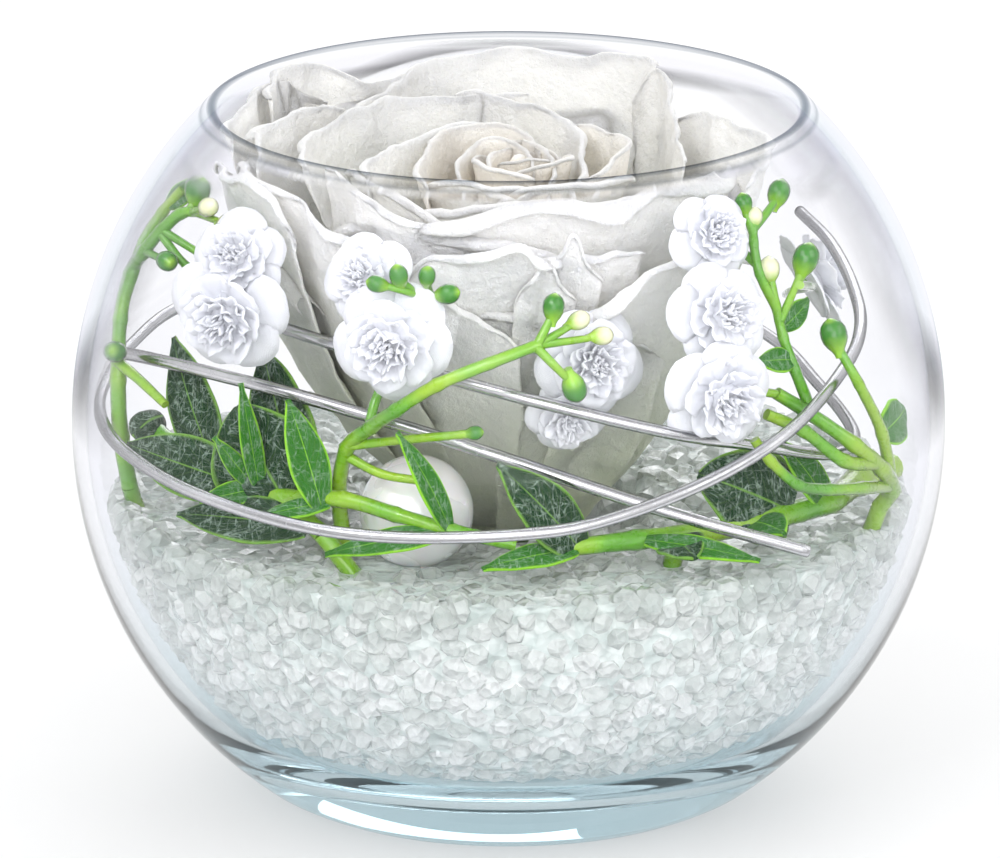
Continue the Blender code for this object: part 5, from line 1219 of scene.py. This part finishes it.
LEFT_SPRAY_STEMS = [
    ([at(-49.5, -4.5, 35.0), at(-51.8, -7.5, 44.5)], 0.0012, 0.0012),
    ([at(-51.8, -7.5, 44.5), at(-52.8, -8.6, 52.0), at(-53.0, -8.8, 60.0),
      at(-52.6, -7.0, 68.0), at(-51.2, -5.5, 74.0), at(-49.2, -8.0, 77.6), at(-46.8, -9.8, 81.0),
      at(-44.0, -10.8, 83.8), at(-41.6, -12.2, 84.4)], 0.0012, 0.0007),
    ([at(-51.9, -6.2, 71.5), at(-49.2, -5.6, 78.5), at(-46.6, -6.2, 82.8), at(-43.9, -7.2, 86.2)],
     0.0009, 0.0006),
    ([at(-53.0, -8.8, 62.5), at(-50.0, -12.5, 61.0), at(-46.4, -17.0, 58.8)], 0.0008, 0.0006),
    ([at(-43.2, -11.2, 84.0), at(-42.0, -10.6, 85.8)], 0.0006, 0.0005),
    ([at(-42.4, -11.9, 84.3), at(-40.9, -15.0, 85.6)], 0.0006, 0.0005),
    ([at(-42.0, -12.2, 84.3), at(-38.2, -18.0, 84.4)], 0.0006, 0.0005),
    ([at(-49.0, -8.2, 77.8), at(-46.5, -12.8, 77.9)], 0.0006, 0.0005),
    ([at(-46.6, -10.0, 81.2), at(-41.0, -14.0, 78.8), at(-36.6, -18.6, 78.2), at(-33.6, -21.4, 77.6)],
     0.0006, 0.0005),
]
# buds: place, direction, radius, 1 for a cream one
LEFT_SPRAY_BUDS = [
    (at(-41.8, -10.2, 87.0), Vector((0.2, 0.1, 1.0)), 0.0017, 0),
    (at(-40.2, -16.0, 86.1), Vector((0.4, -0.6, 0.4)), 0.0013, 1),
    (at(-37.2, -19.4, 84.4), Vector((0.6, -0.8, 0.1)), 0.0017, 1),
    (at(-45.9, -14.0, 78.0), Vector((0.4, -1.0, 0.1)), 0.0014, 0),
    (at(-32.9, -22.4, 77.4), Vector((0.6, -0.9, -0.2)), 0.0014, 1),
    (at(-53.2, -9.9, 64.2), Vector((-0.2, -1.0, 0.4)), 0.0015, 0),
]
LEFT_SPRAY_LEAVES = [
    (at(-45.8, -6.6, 83.6), at(-41.3, -6.9, 88.0), Vector((-0.6, -1.0, 0.1)), 0.0028, 0.02, 0.15),
]
CENTRE_SPRAY_STEMS = [
    ([at(-21.5, -29.5, 35.0), at(-22.3, -31.5, 44.5)], 0.0011, 0.0011),
    ([at(-22.3, -31.5, 44.5), at(-22.8, -32.4, 51.0), at(-21.6, -36.2, 58.3),
      at(-18.3, -40.5, 62.4), at(-14.9, -44.8, 66.0), at(-9.4, -47.3, 70.2), at(-2.5, -47.5, 73.2),
      at(4.3, -46.5, 75.6)], 0.0011, 0.0008),
    ([at(3.8, -46.6, 75.4), at(5.8, -45.2, 79.2)], 0.0007, 0.0005),
    ([at(4.0, -46.5, 75.5), at(8.6, -43.2, 77.4)], 0.0006, 0.0005),
    ([at(4.2, -46.3, 75.4), at(11.6, -42.2, 75.3)], 0.0006, 0.0005),
    ([at(3.6, -46.7, 75.3), at(6.4, -47.2, 72.5), at(8.2, -46.4, 70.4)], 0.0007, 0.0005),
    ([at(-21.0, -37.2, 58.9), at(-14.0, -40.5, 60.6), at(-5.2, -42.4, 62.0)], 0.0007, 0.0006),
    ([at(-21.9, -35.4, 57.0), at(-17.0, -38.2, 55.2), at(-11.6, -40.2, 54.8)], 0.0007, 0.0006),
    ([at(-18.9, -39.8, 61.6), at(-17.0, -37.2, 67.0), at(-12.0, -36.8, 74.0), at(-10.2, -39.4, 80.0)],
     0.0007, 0.0006),
    ([at(-10.4, -39.2, 79.6), at(-13.6, -43.2, 81.9), at(-16.8, -43.6, 82.9)], 0.0006, 0.0005),
    ([at(-12.2, -41.6, 81.0), at(-14.2, -43.4, 83.4)], 0.0006, 0.0005),
    ([at(-10.3, -39.4, 79.9), at(-10.9, -42.2, 83.2)], 0.0006, 0.0005),
    ([at(-10.3, -39.3, 79.7), at(-8.4, -42.4, 81.2)], 0.0006, 0.0005),
]
CENTRE_SPRAY_BUDS = [
    (at(6.0, -44.8, 80.4), Vector((0.1, 0.2, 1.0)), 0.0015, 0),
    (at(9.5, -42.8, 77.9), Vector((1.0, 0.4, 0.4)), 0.0013, 1),
    (at(12.6, -41.8, 75.4), Vector((1.0, 0.4, 0.0)), 0.0013, 1),
    (at(8.8, -46.0, 69.2), Vector((0.3, 0.2, -1.0)), 0.0017, 0),
    (at(-4.4, -42.6, 62.2), Vector((1.0, -0.2, 0.2)), 0.0010, 0),
    (at(-10.9, -40.4, 54.7), Vector((1.0, -0.3, 0.0)), 0.0010, 0),
    (at(-17.6, -43.7, 83.1), Vector((-1.0, -0.1, 0.3)), 0.0012, 0),
    (at(-14.6, -43.5, 84.3), Vector((-0.2, -0.1, 1.0)), 0.0013, 0),
    (at(-10.8, -42.7, 84.0), Vector((0.1, -0.3, 1.0)), 0.0012, 0),
    (at(-7.9, -42.9, 81.5), Vector((1.0, -0.4, 0.3)), 0.0014, 0),
]
RIGHT_SPRAY_STEMS = [
    ([at(47.5, -16.5, 36.0), at(50.2, -17.5, 44.5)], 0.0012, 0.0012),
    ([at(50.2, -17.5, 44.5), at(51.6, -19.0, 47.5), at(50.0, -23.5, 51.8),
      at(46.2, -28.2, 56.5), at(40.0, -30.0, 61.5), at(35.9, -31.8, 64.6)], 0.0012, 0.0009),
    ([at(49.6, -24.2, 52.6), at(45.0, -29.8, 54.6), at(39.5, -32.6, 59.6), at(34.5, -35.0, 62.6)],
     0.0010, 0.0008),
    ([at(51.6, -19.2, 48.0), at(47.5, -27.0, 50.0), at(42.8, -32.5, 51.4), at(38.7, -36.5, 53.2),
      at(35.0, -39.0, 57.2), at(32.8, -39.6, 60.4)], 0.0009, 0.0007),
    ([at(51.6, -19.4, 48.0), at(50.0, -24.6, 57.0), at(46.8, -29.0, 65.0), at(43.8, -28.4, 70.4)],
     0.0009, 0.0006),
    ([at(40.8, -29.3, 60.9), at(38.3, -29.5, 67.4), at(36.8, -28.0, 71.4), at(35.8, -27.5, 75.6),
      at(35.0, -26.8, 79.6)], 0.0008, 0.0006),
    ([at(36.4, -27.8, 73.5), at(38.4, -25.5, 77.6), at(39.4, -24.0, 80.0)], 0.0006, 0.0005),
    ([at(36.0, -27.6, 75.0), at(33.6, -27.4, 80.0), at(32.8, -26.2, 84.0), at(32.8, -24.8, 86.6)],
     0.0007, 0.0006),
    ([at(32.8, -25.8, 84.8), at(31.6, -24.6, 88.0)], 0.0006, 0.0005),
    ([at(32.8, -25.4, 85.6), at(34.8, -22.4, 87.4), at(35.9, -20.4, 88.6)], 0.0006, 0.0005),
]
RIGHT_SPRAY_BUDS = [
    (at(43.4, -28.1, 71.9), Vector((-0.3, 0.2, 1.0)), 0.0018, 0),
    (at(34.9, -26.6, 80.6), Vector((-0.1, 0.1, 1.0)), 0.0014, 1),
    (at(39.8, -23.6, 81.2), Vector((0.3, 0.3, 1.0)), 0.0018, 0),
    (at(31.4, -24.3, 89.0), Vector((-0.2, 0.2, 1.0)), 0.0012, 0),
    (at(36.2, -19.9, 89.3), Vector((0.3, 0.4, 1.0)), 0.0015, 0),
    (at(32.9, -24.6, 87.2), Vector((0.1, 0.2, 1.0)), 0.0011, 1),
]
RIGHT_SPRAY_LEAVES = [
    (at(50.0, -24.4, 57.0), at(53.2, -14.5, 57.6), Vector((0.8, -1.0, 0.3)), 0.0060, 0.03, 0.15),
    (at(38.0, -29.2, 68.4), at(33.0, -33.5, 69.4), Vector((0.2, -1.0, 0.6)), 0.0036, 0.05, 0.15),
    (at(36.6, -27.6, 72.5), at(40.2, -22.0, 75.0), Vector((0.6, -1.0, 0.2)), 0.0034, 0.05, 0.15),
]
# blossom clusters: place, axis and radius of each blossom
BLOSSOMS = {
    "blossoms_left": [(at(-37.6, -25.8, 74.0), Vector((-0.45, -1.0, -0.1)), 0.0068),
                      (at(-36.2, -24.0, 81.4), Vector((-0.35, -1.0, 0.5)), 0.0054)],
    "blossoms_centre": [(at(-15.6, -42.6, 74.8), Vector((-0.25, -1.0, -0.05)), 0.0068),
                        (at(-19.0, -36.2, 81.8), Vector((-0.4, -1.0, 0.6)), 0.0052)],
    "blossoms_front_right": [(at(11.2, -35.6, 70.0), Vector((0.25, -1.0, 0.1)), 0.0062),
                             (at(7.8, -34.6, 62.2), Vector((0.1, -1.0, -0.3)), 0.0046)],
    "blossoms_right": [(at(28.2, -39.8, 66.6), Vector((0.45, -1.0, -0.1)), 0.0066),
                       (at(28.4, -36.0, 76.6), Vector((0.5, -1.0, 0.3)), 0.0060)],
    "blossom_upper_right": [(at(27.2, -29.4, 85.8), Vector((0.5, -1.0, 0.5)), 0.0050)],
    "blossom_far_right": [(at(42.0, 12.0, 68.6), Vector((0.8, 0.3, 0.4)), 0.0062)],
}
BUD_PROFILE = [(-1.9, 0.34), (-1.6, 0.38), (-1.3, 0.52), (-1.0, 0.74), (-0.6, 0.93), (-0.15, 1.0), (0.3, 0.97),
               (0.7, 0.78), (0.95, 0.5), (1.1, 0.22), (1.2, 0.0)]


def branch_to(name, start, via, radius=0.0006):
    """A side branch that runs from a stem to the back of a blossom."""
    centre, axis, _ = BLOSSOMS[name][0]
    axis = axis.normalized()
    end = centre - axis * 0.00075
    return [start, *via, end - axis * 0.0035, end], radius, radius * 0.85


def stem_routes(stems, draw):
    """Each stem's route as (place, radius), tapering, thicker at its joints and never quite even."""
    routes = []
    for points, radius, tip in stems:
        line = smooth_route(points)
        route = []
        for n, (place, knot) in enumerate(line):
            r = radius + (tip - radius) * n / (len(line) - 1)
            near = abs(knot - round(knot))
            if len(points) > 3 and 0 < round(knot) < len(points) - 1:
                r *= 1 + 0.16 * math.exp(-(near / 0.10) ** 2)
            r *= 1 + 0.07 * noise.noise(place * 600)
            route.append((place, r))
        routes.append(route)
    return routes


def plant_piece(name, stems, buds, leaves, finishes, nodes, foliage, nub=None):
    """One sprig or spray: rods for stems, turned buds and leaf sheets, in one piece."""
    draw = random.Random(len(stems) * 7 + len(leaves))
    draft = Draft()
    add_mesh(draft, rods(name + "_stems", stem_routes(stems, draw), 12, finishes[0]), 0)
    for place, direction, radius, kind in buds:
        profile = [(a * radius, w * radius) for a, w in BUD_PROFILE]
        draft.lathe(profile, place, direction, 16, 2 + kind)
    for base, tip, facing, width, bow, fold in leaves:
        big = width > 0.0062 and nodes[0].startswith("leaf")
        rows = leaf_grid(base, tip, facing, width, bow, fold, 12, 26, phase=draw.uniform(0, 6))
        draft.sheet(rows, foliage.leaf_thickness, 1 if big else (4 if len(finishes) > 4 else 1))
    if nub:
        start, end, radius = nub
        axis = end - start
        shape = [(-0.02, 0.0), (0.0, 0.72), (0.08, 0.94), (0.3, 1.0), (0.7, 1.02), (0.92, 0.93), (1.0, 0.7),
                 (1.01, 0.0)]
        draft.lathe([(a * axis.length, w * radius) for a, w in shape], start, axis, 20, 1)
    return finish_piece(name, draft.mesh(name), finishes, nodes, 50)


def foliage_finishes(foliage):
    """Finishes shared by sprigs and sprays, made once."""
    known = bpy.data.materials
    if "stem_plastic" not in known:
        stem_finish(foliage)
        leaf_finish(foliage, "broad_leaf_wax", foliage.leaf_colour, (0.16, 0.34, 0.05), 1.0, 0.32)
        leaf_finish(foliage, "small_leaf_wax", (0.022, 0.145, 0.009), (0.26, 0.60, 0.03), 0.8, 0.26)
        bud_finish("green_bud", (0.030, 0.20, 0.006), (0.24, 0.50, 0.015), (0.26, 0.52, 0.02))
        bud_finish("cream_bud", foliage.cream_colour, (0.36, 0.58, 0.06), (0.86, 0.88, 0.60))
    return known


class BuildLeafSprigs(bpy.types.Operator):
    """Build the waxy leaf sprigs, left and right."""
    bl_idname = "rose_globe.leaf_sprigs"
    bl_label = "Leaf sprigs"

    def execute(self, context):
        foliage = context.scene.foliage
        known = foliage_finishes(foliage)
        finishes = [known[n] for n in ("stem_plastic", "broad_leaf_wax", "green_bud", "cream_bud", "small_leaf_wax")]
        plant_piece("left_leaf_sprig", LEFT_SPRIG_STEMS, [], LEFT_SPRIG_LEAVES, finishes, ["leaf_sprig_left"],
                    foliage, LEFT_SPRIG_NUB)
        plant_piece("right_leaf_sprig", RIGHT_SPRIG_STEMS, [], RIGHT_SPRIG_LEAVES, finishes,
                    ["leaf_sprig_right"], foliage)
        return {"FINISHED"}


class BuildSprays(bpy.types.Operator):
    """Build the three baby's-breath sprays with their stems, buds and small leaves."""
    bl_idname = "rose_globe.sprays"
    bl_label = "Baby's-breath sprays"

    def execute(self, context):
        foliage = context.scene.foliage
        known = foliage_finishes(foliage)
        finishes = [known[n] for n in ("stem_plastic", "small_leaf_wax", "green_bud", "cream_bud")]
        left = LEFT_SPRAY_STEMS + [branch_to("blossoms_left", at(-47.0, -9.8, 80.8), [at(-43.0, -14.0, 77.0)])]
        centre = CENTRE_SPRAY_STEMS + [
            branch_to("blossoms_centre", at(-13.5, -36.9, 72.0), []),
            branch_to("blossoms_front_right", at(-2.5, -47.4, 73.1), [at(1.5, -39.0, 72.5), at(5.5, -33.6, 71.0)])]
        right = RIGHT_SPRAY_STEMS + [
            branch_to("blossoms_right", at(35.9, -31.8, 64.5), [at(31.0, -34.5, 66.0)]),
            branch_to("blossom_upper_right", at(33.4, -27.2, 81.0), [at(30.5, -25.4, 83.0)]),
            branch_to("blossom_far_right", at(39.0, -26.0, 78.0), [at(41.0, -12.0, 74.0), at(38.5, 0.0, 70.0)])]
        for name, stems, buds, leaves, node in (
                ("left_spray", left, LEFT_SPRAY_BUDS, LEFT_SPRAY_LEAVES, "spray_left"),
                ("centre_spray", centre, CENTRE_SPRAY_BUDS, [], "spray_centre"),
                ("right_spray", right, RIGHT_SPRAY_BUDS, RIGHT_SPRAY_LEAVES, "spray_right")):
            plant_piece(name, stems, buds, leaves, finishes, [node], foliage)
        return {"FINISHED"}


def fabric_petal(hub, axis, away, reach, span, tilt, ruffle, cup, draw):
    """Grid of points on one ruffled fabric petal."""
    side = axis.cross(away)
    phase = draw.uniform(0, math.tau)
    waves = draw.uniform(4.0, 6.5)
    rows = []
    for j in range(6):
        q = j / 5
        row = []
        for i in range(13):
            s = i / 6 - 1
            out = reach * (0.06 + 0.94 * q) * (1 - 0.20 * abs(s) ** 2.2 * q)
            out *= 1 + 0.30 * ruffle / reach * q * math.sin(3 * waves * s + 2 * phase)
            turn = span * s * (0.40 + 0.60 * math.sin(math.pi / 2 * q ** 0.8))
            rise = tilt + cup * q * q
            wrinkle = math.sin(waves * s + phase) + 0.45 * math.sin(2.3 * waves * s + 3 * phase)
            height = out * math.sin(rise) + ruffle * q * q * wrinkle
            flat = out * math.cos(rise) + ruffle * 0.5 * q * q * math.cos(waves * s + phase)
            row.append(hub + (away * math.cos(turn) + side * math.sin(turn)) * flat + axis * height)
        rows.append(row)
    return rows


class BuildBlossoms(bpy.types.Operator):
    """Build the white fabric blossoms: a flat outer whorl and a ruffled pompom."""
    bl_idname = "rose_globe.blossoms"
    bl_label = "Fabric blossoms"

    def execute(self, context):
        flower = context.scene.flower
        finish = fabric_finish(flower)
        draw = random.Random(11)
        # whorls: petals, reach share, tilt, cup, height share of the hub, half span in degrees, ruffle share
        whorls = [(5, 1.30, 4, -8, -0.06, 42, 0.02), (6, 1.02, 16, 4, 0.00, 38, 0.05),
                  (7, 0.90, 34, 6, 0.06, 36, 0.09), (8, 0.78, 50, 8, 0.10, 36, 0.11),
                  (7, 0.64, 66, 8, 0.14, 40, 0.11), (5, 0.54, 82, 0, 0.16, 44, 0.10)]
        for name, cluster in BLOSSOMS.items():
            draft = Draft()
            for centre, axis, radius in cluster:
                axis = axis.normalized()
                side = axis.cross(Vector((0, 0, 1))).normalized()
                up = side.cross(axis)
                heart = [(-0.16, 0.0), (-0.12, 0.22), (0.05, 0.40), (0.24, 0.40), (0.40, 0.26), (0.47, 0.0)]
                draft.lathe([(a * radius, w * radius) for a, w in heart], centre, axis, 16, 0)
                for count, reach, tilt, cup, lift, span, ruffle in whorls:
                    first = draw.uniform(0, math.tau)
                    for k in range(count):
                        turn = first + math.tau * k / count + draw.uniform(-0.12, 0.12)
                        away = side * math.cos(turn) + up * math.sin(turn)
                        rows = fabric_petal(centre + axis * radius * lift, axis, away,
                                            radius * reach * draw.uniform(0.90, 1.0), math.radians(span),
                                            math.radians(tilt + draw.uniform(-6, 6)), radius * ruffle,
                                            math.radians(cup), draw)
                        draft.sheet(rows, flower.fabric_thickness, 0, 0.6)
            for (near, near_axis, _), (far, far_axis, _) in zip(cluster, cluster[1:]):
                start = near + near_axis.normalized() * 0.0008
                end = far + far_axis.normalized() * 0.0008
                add_mesh(draft, rods(name + "_stalk", [[(start.lerp(end, i / 8), 0.0007) for i in range(9)]], 10,
                                     finish), 0)
            finish_piece(name.replace("blossom", "fabric_blossom"), draft.mesh(name), [finish], [name])
        return {"FINISHED"}


SPIRAL_ROUTE = [
    at(40.5, 20.0, 76.2), at(44.2, 6.0, 75.4), at(46.8, -6.0, 72.4), at(47.4, -16.5, 69.4),
    at(44.8, -26.0, 66.2), at(37.3, -40.6, 61.8), at(26.3, -49.2, 57.3), at(12.6, -54.6, 53.5),
    at(1.6, -56.2, 52.1), at(-14.8, -53.8, 51.0), at(-28.4, -48.2, 51.1), at(-42.1, -36.9, 52.3),
    at(-51.6, -21.6, 53.7), at(-55.8, -5.5, 55.0), at(-55.2, 7.5, 56.5), at(-52.7, 17.8, 57.8),
    at(-46.0, 30.9, 59.6), at(-30.0, 46.2, 60.2), at(-10.0, 53.5, 59.4), at(10.0, 52.8, 58.4),
    at(27.0, 42.5, 57.2), at(37.5, 25.0, 56.0), at(42.5, 8.0, 55.0), at(46.0, -8.0, 54.4),
    at(46.8, -17.0, 53.8), at(44.2, -24.0, 54.0), at(39.8, -28.5, 55.4), at(33.0, -34.5, 58.2),
    at(22.5, -40.6, 61.4), at(7.1, -41.0, 65.2), at(-5.3, -38.0, 67.7), at(-23.1, -28.5, 70.4),
    at(-32.8, -11.0, 68.8), at(-36.0, 6.0, 66.0),
]
BAR_ROUTE = [
    at(-54.6, 0.0, 61.7), at(-47.5, -10.5, 63.2), at(-38.5, -20.5, 63.8), at(-28.6, -28.0, 63.3),
    at(-8.0, -36.2, 59.3), at(12.6, -39.6, 53.2), at(26.3, -40.4, 49.0), at(40.1, -39.0, 44.7),
]


class BuildWires(bpy.types.Operator):
    """Build the two formed aluminium wires."""
    bl_idname = "rose_globe.wires"
    bl_label = "Formed wires"

    def execute(self, context):
        metal = context.scene.metal
        finish = wire_finish(metal)
        for name, route, radius, node in (("spiral_wire", SPIRAL_ROUTE, metal.wire_radius, "wire_spiral"),
                                          ("straight_wire", BAR_ROUTE, metal.bar_radius, "wire_bar")):
            line = [place for place, _ in smooth_route(route, 0.0012)]
            shape = [(place, radius) for place in line]
            # a small chamfer where the wire was cut
            shape[0] = (line[0], radius * 0.86)
            shape[-1] = (line[-1], radius * 0.86)
            shape.insert(1, (line[0].lerp(line[1], 0.12), radius))
            shape.insert(-1, (line[-1].lerp(line[-2], 0.12), radius))
            mesh = rods(name, [shape], 20, finish)
            finish_piece(name, mesh, [finish], [node], 50)
        return {"FINISHED"}


class BuildPearl(bpy.types.Operator):
    """Build the pearl with its thread hole."""
    bl_idname = "rose_globe.pearl"
    bl_label = "Pearl"

    def execute(self, context):
        metal = context.scene.metal
        middle = (PEARL_LOW + PEARL_HIGH) / 2
        radius = (PEARL_HIGH.z - PEARL_LOW.z) / 2
        bore = metal.pearl_bore
        first = math.asin(bore / radius)
        profile = []
        for i in range(33):
            turn = first + (math.pi - 2 * first) * i / 32
            profile.append((-radius * math.cos(turn), radius * math.sin(turn)))
        inside = [(radius * 0.985, bore * 0.8), (radius * 0.7, bore * 0.7)]
        profile = [(-a, w) for a, w in inside[::-1]] + profile + inside
        draft = Draft()
        draft.lathe(profile, middle, Vector((0.8, 0.45, 0.3)), 48, 0)
        finish_piece("lustre_pearl", draft.mesh("lustre_pearl"), [pearl_finish(metal)], ["pearl"])
        return {"FINISHED"}


class BuildStage(bpy.types.Operator):
    """Build the pale table, the soft lights and the camera."""
    bl_idname = "rose_globe.stage"
    bl_label = "Stage"

    def execute(self, context):
        stage = context.scene.stage
        scene = context.scene
        bm = bmesh.new()
        bmesh.ops.create_grid(bm, x_segments=8, y_segments=8, size=4.0)
        mesh = bpy.data.meshes.new("table_top")
        bm.to_mesh(mesh)
        bm.free()
        floor = bpy.data.objects.new("table_top", mesh)
        scene.collection.objects.link(floor)
        mesh.materials.append(floor_finish())
        world = bpy.data.worlds.new("pale_room")
        scene.world = world
        world.use_nodes = True
        tree = world.node_tree
        way = add(tree, "ShaderNodeTexCoord").outputs["Generated"]
        up = add(tree, "ShaderNodeSeparateXYZ", values={0: way}).outputs[2]
        sky = ramp(tree, up, [(0.0, 0.80), (0.10, 0.86), (0.35, 0.96), (1.0, 1.0)])
        background = tree.nodes["Background"]
        tree.links.new(sky, background.inputs[0])
        background.inputs[1].default_value = stage.sky
        self.panel("key_light", (-0.9, -0.9, 1.3), 1.0, stage.key_power, stage.soft)
        self.panel("fill_light", (1.2, -0.7, 0.9), 1.2, stage.fill_power, stage.soft)
        self.panel("back_light", (0.3, 1.3, 1.0), 1.1, stage.back_power, stage.soft)
        self.panel("front_light", (0.1, -2.2, 0.5), 1.6, stage.front_power, stage.soft)
        self.panel("glint_light", (-0.5, -1.3, 1.1), 0.22, stage.glint_power, stage.soft)
        look = Vector((0.0, 0.0, 0.050))
        towards = Vector((0.0, -math.cos(stage.elevation), math.sin(stage.elevation)))
        data = bpy.data.cameras.new("camera")
        data.sensor_width = 36.0
        data.lens = stage.lens
        data.shift_x, data.shift_y = -0.0085, 0.0033
        data.clip_end = 20.0
        camera = bpy.data.objects.new("camera", data)
        camera.location = look + towards * stage.distance
        camera.rotation_euler = (-towards).to_track_quat("-Z", "Y").to_euler()
        scene.collection.objects.link(camera)
        scene.camera = camera
        scene.view_settings.view_transform = "Standard"
        return {"FINISHED"}

    @staticmethod
    def panel(name, place, size, power, soft):
        light = bpy.data.lights.new(name, "AREA")
        light.size = size if soft else size / 5
        light.energy = power
        lamp = bpy.data.objects.new(name, light)
        lamp.location = place
        lamp.rotation_euler = (Vector((0, 0, 0.05)) - Vector(place)).to_track_quat("-Z", "Y").to_euler()
        bpy.context.scene.collection.objects.link(lamp)


BUILD_ORDER = (BuildStage, BuildBowl, BuildGranules, BuildRose, BuildCalyx, BuildLeafSprigs, BuildSprays,
               BuildBlossoms, BuildWires, BuildPearl)
SETTINGS = {"bowl": BowlSettings, "granules": GranuleSettings, "flower": FlowerSettings,
            "foliage": FoliageSettings, "metal": MetalSettings, "stage": StageSettings}


class RoseGlobePanel(bpy.types.Panel):
    """Lists the steps that build the arrangement."""
    bl_idname = "VIEW3D_PT_rose_globe"
    bl_label = "Rose globe"
    bl_space_type = "VIEW_3D"
    bl_region_type = "UI"
    bl_category = "Rose globe"

    def draw(self, context):
        for step in BUILD_ORDER:
            self.layout.operator(step.bl_idname)
        for name, kind in SETTINGS.items():
            box = self.layout.box()
            box.label(text=name.capitalize())
            for key in kind.__annotations__:
                box.prop(getattr(context.scene, name), key)


def register():
    for kind in (*SETTINGS.values(), *BUILD_ORDER, RoseGlobePanel):
        bpy.utils.register_class(kind)
    for name, kind in SETTINGS.items():
        setattr(bpy.types.Scene, name, PointerProperty(type=kind))


def unregister():
    for name in SETTINGS:
        delattr(bpy.types.Scene, name)
    for kind in (RoseGlobePanel, *reversed(BUILD_ORDER), *reversed(SETTINGS.values())):
        bpy.utils.unregister_class(kind)


def main():
    register()
    for step in BUILD_ORDER:
        group, name = step.bl_idname.split(".")
        getattr(getattr(bpy.ops, group), name)()


if __name__ == "__main__":
    main()
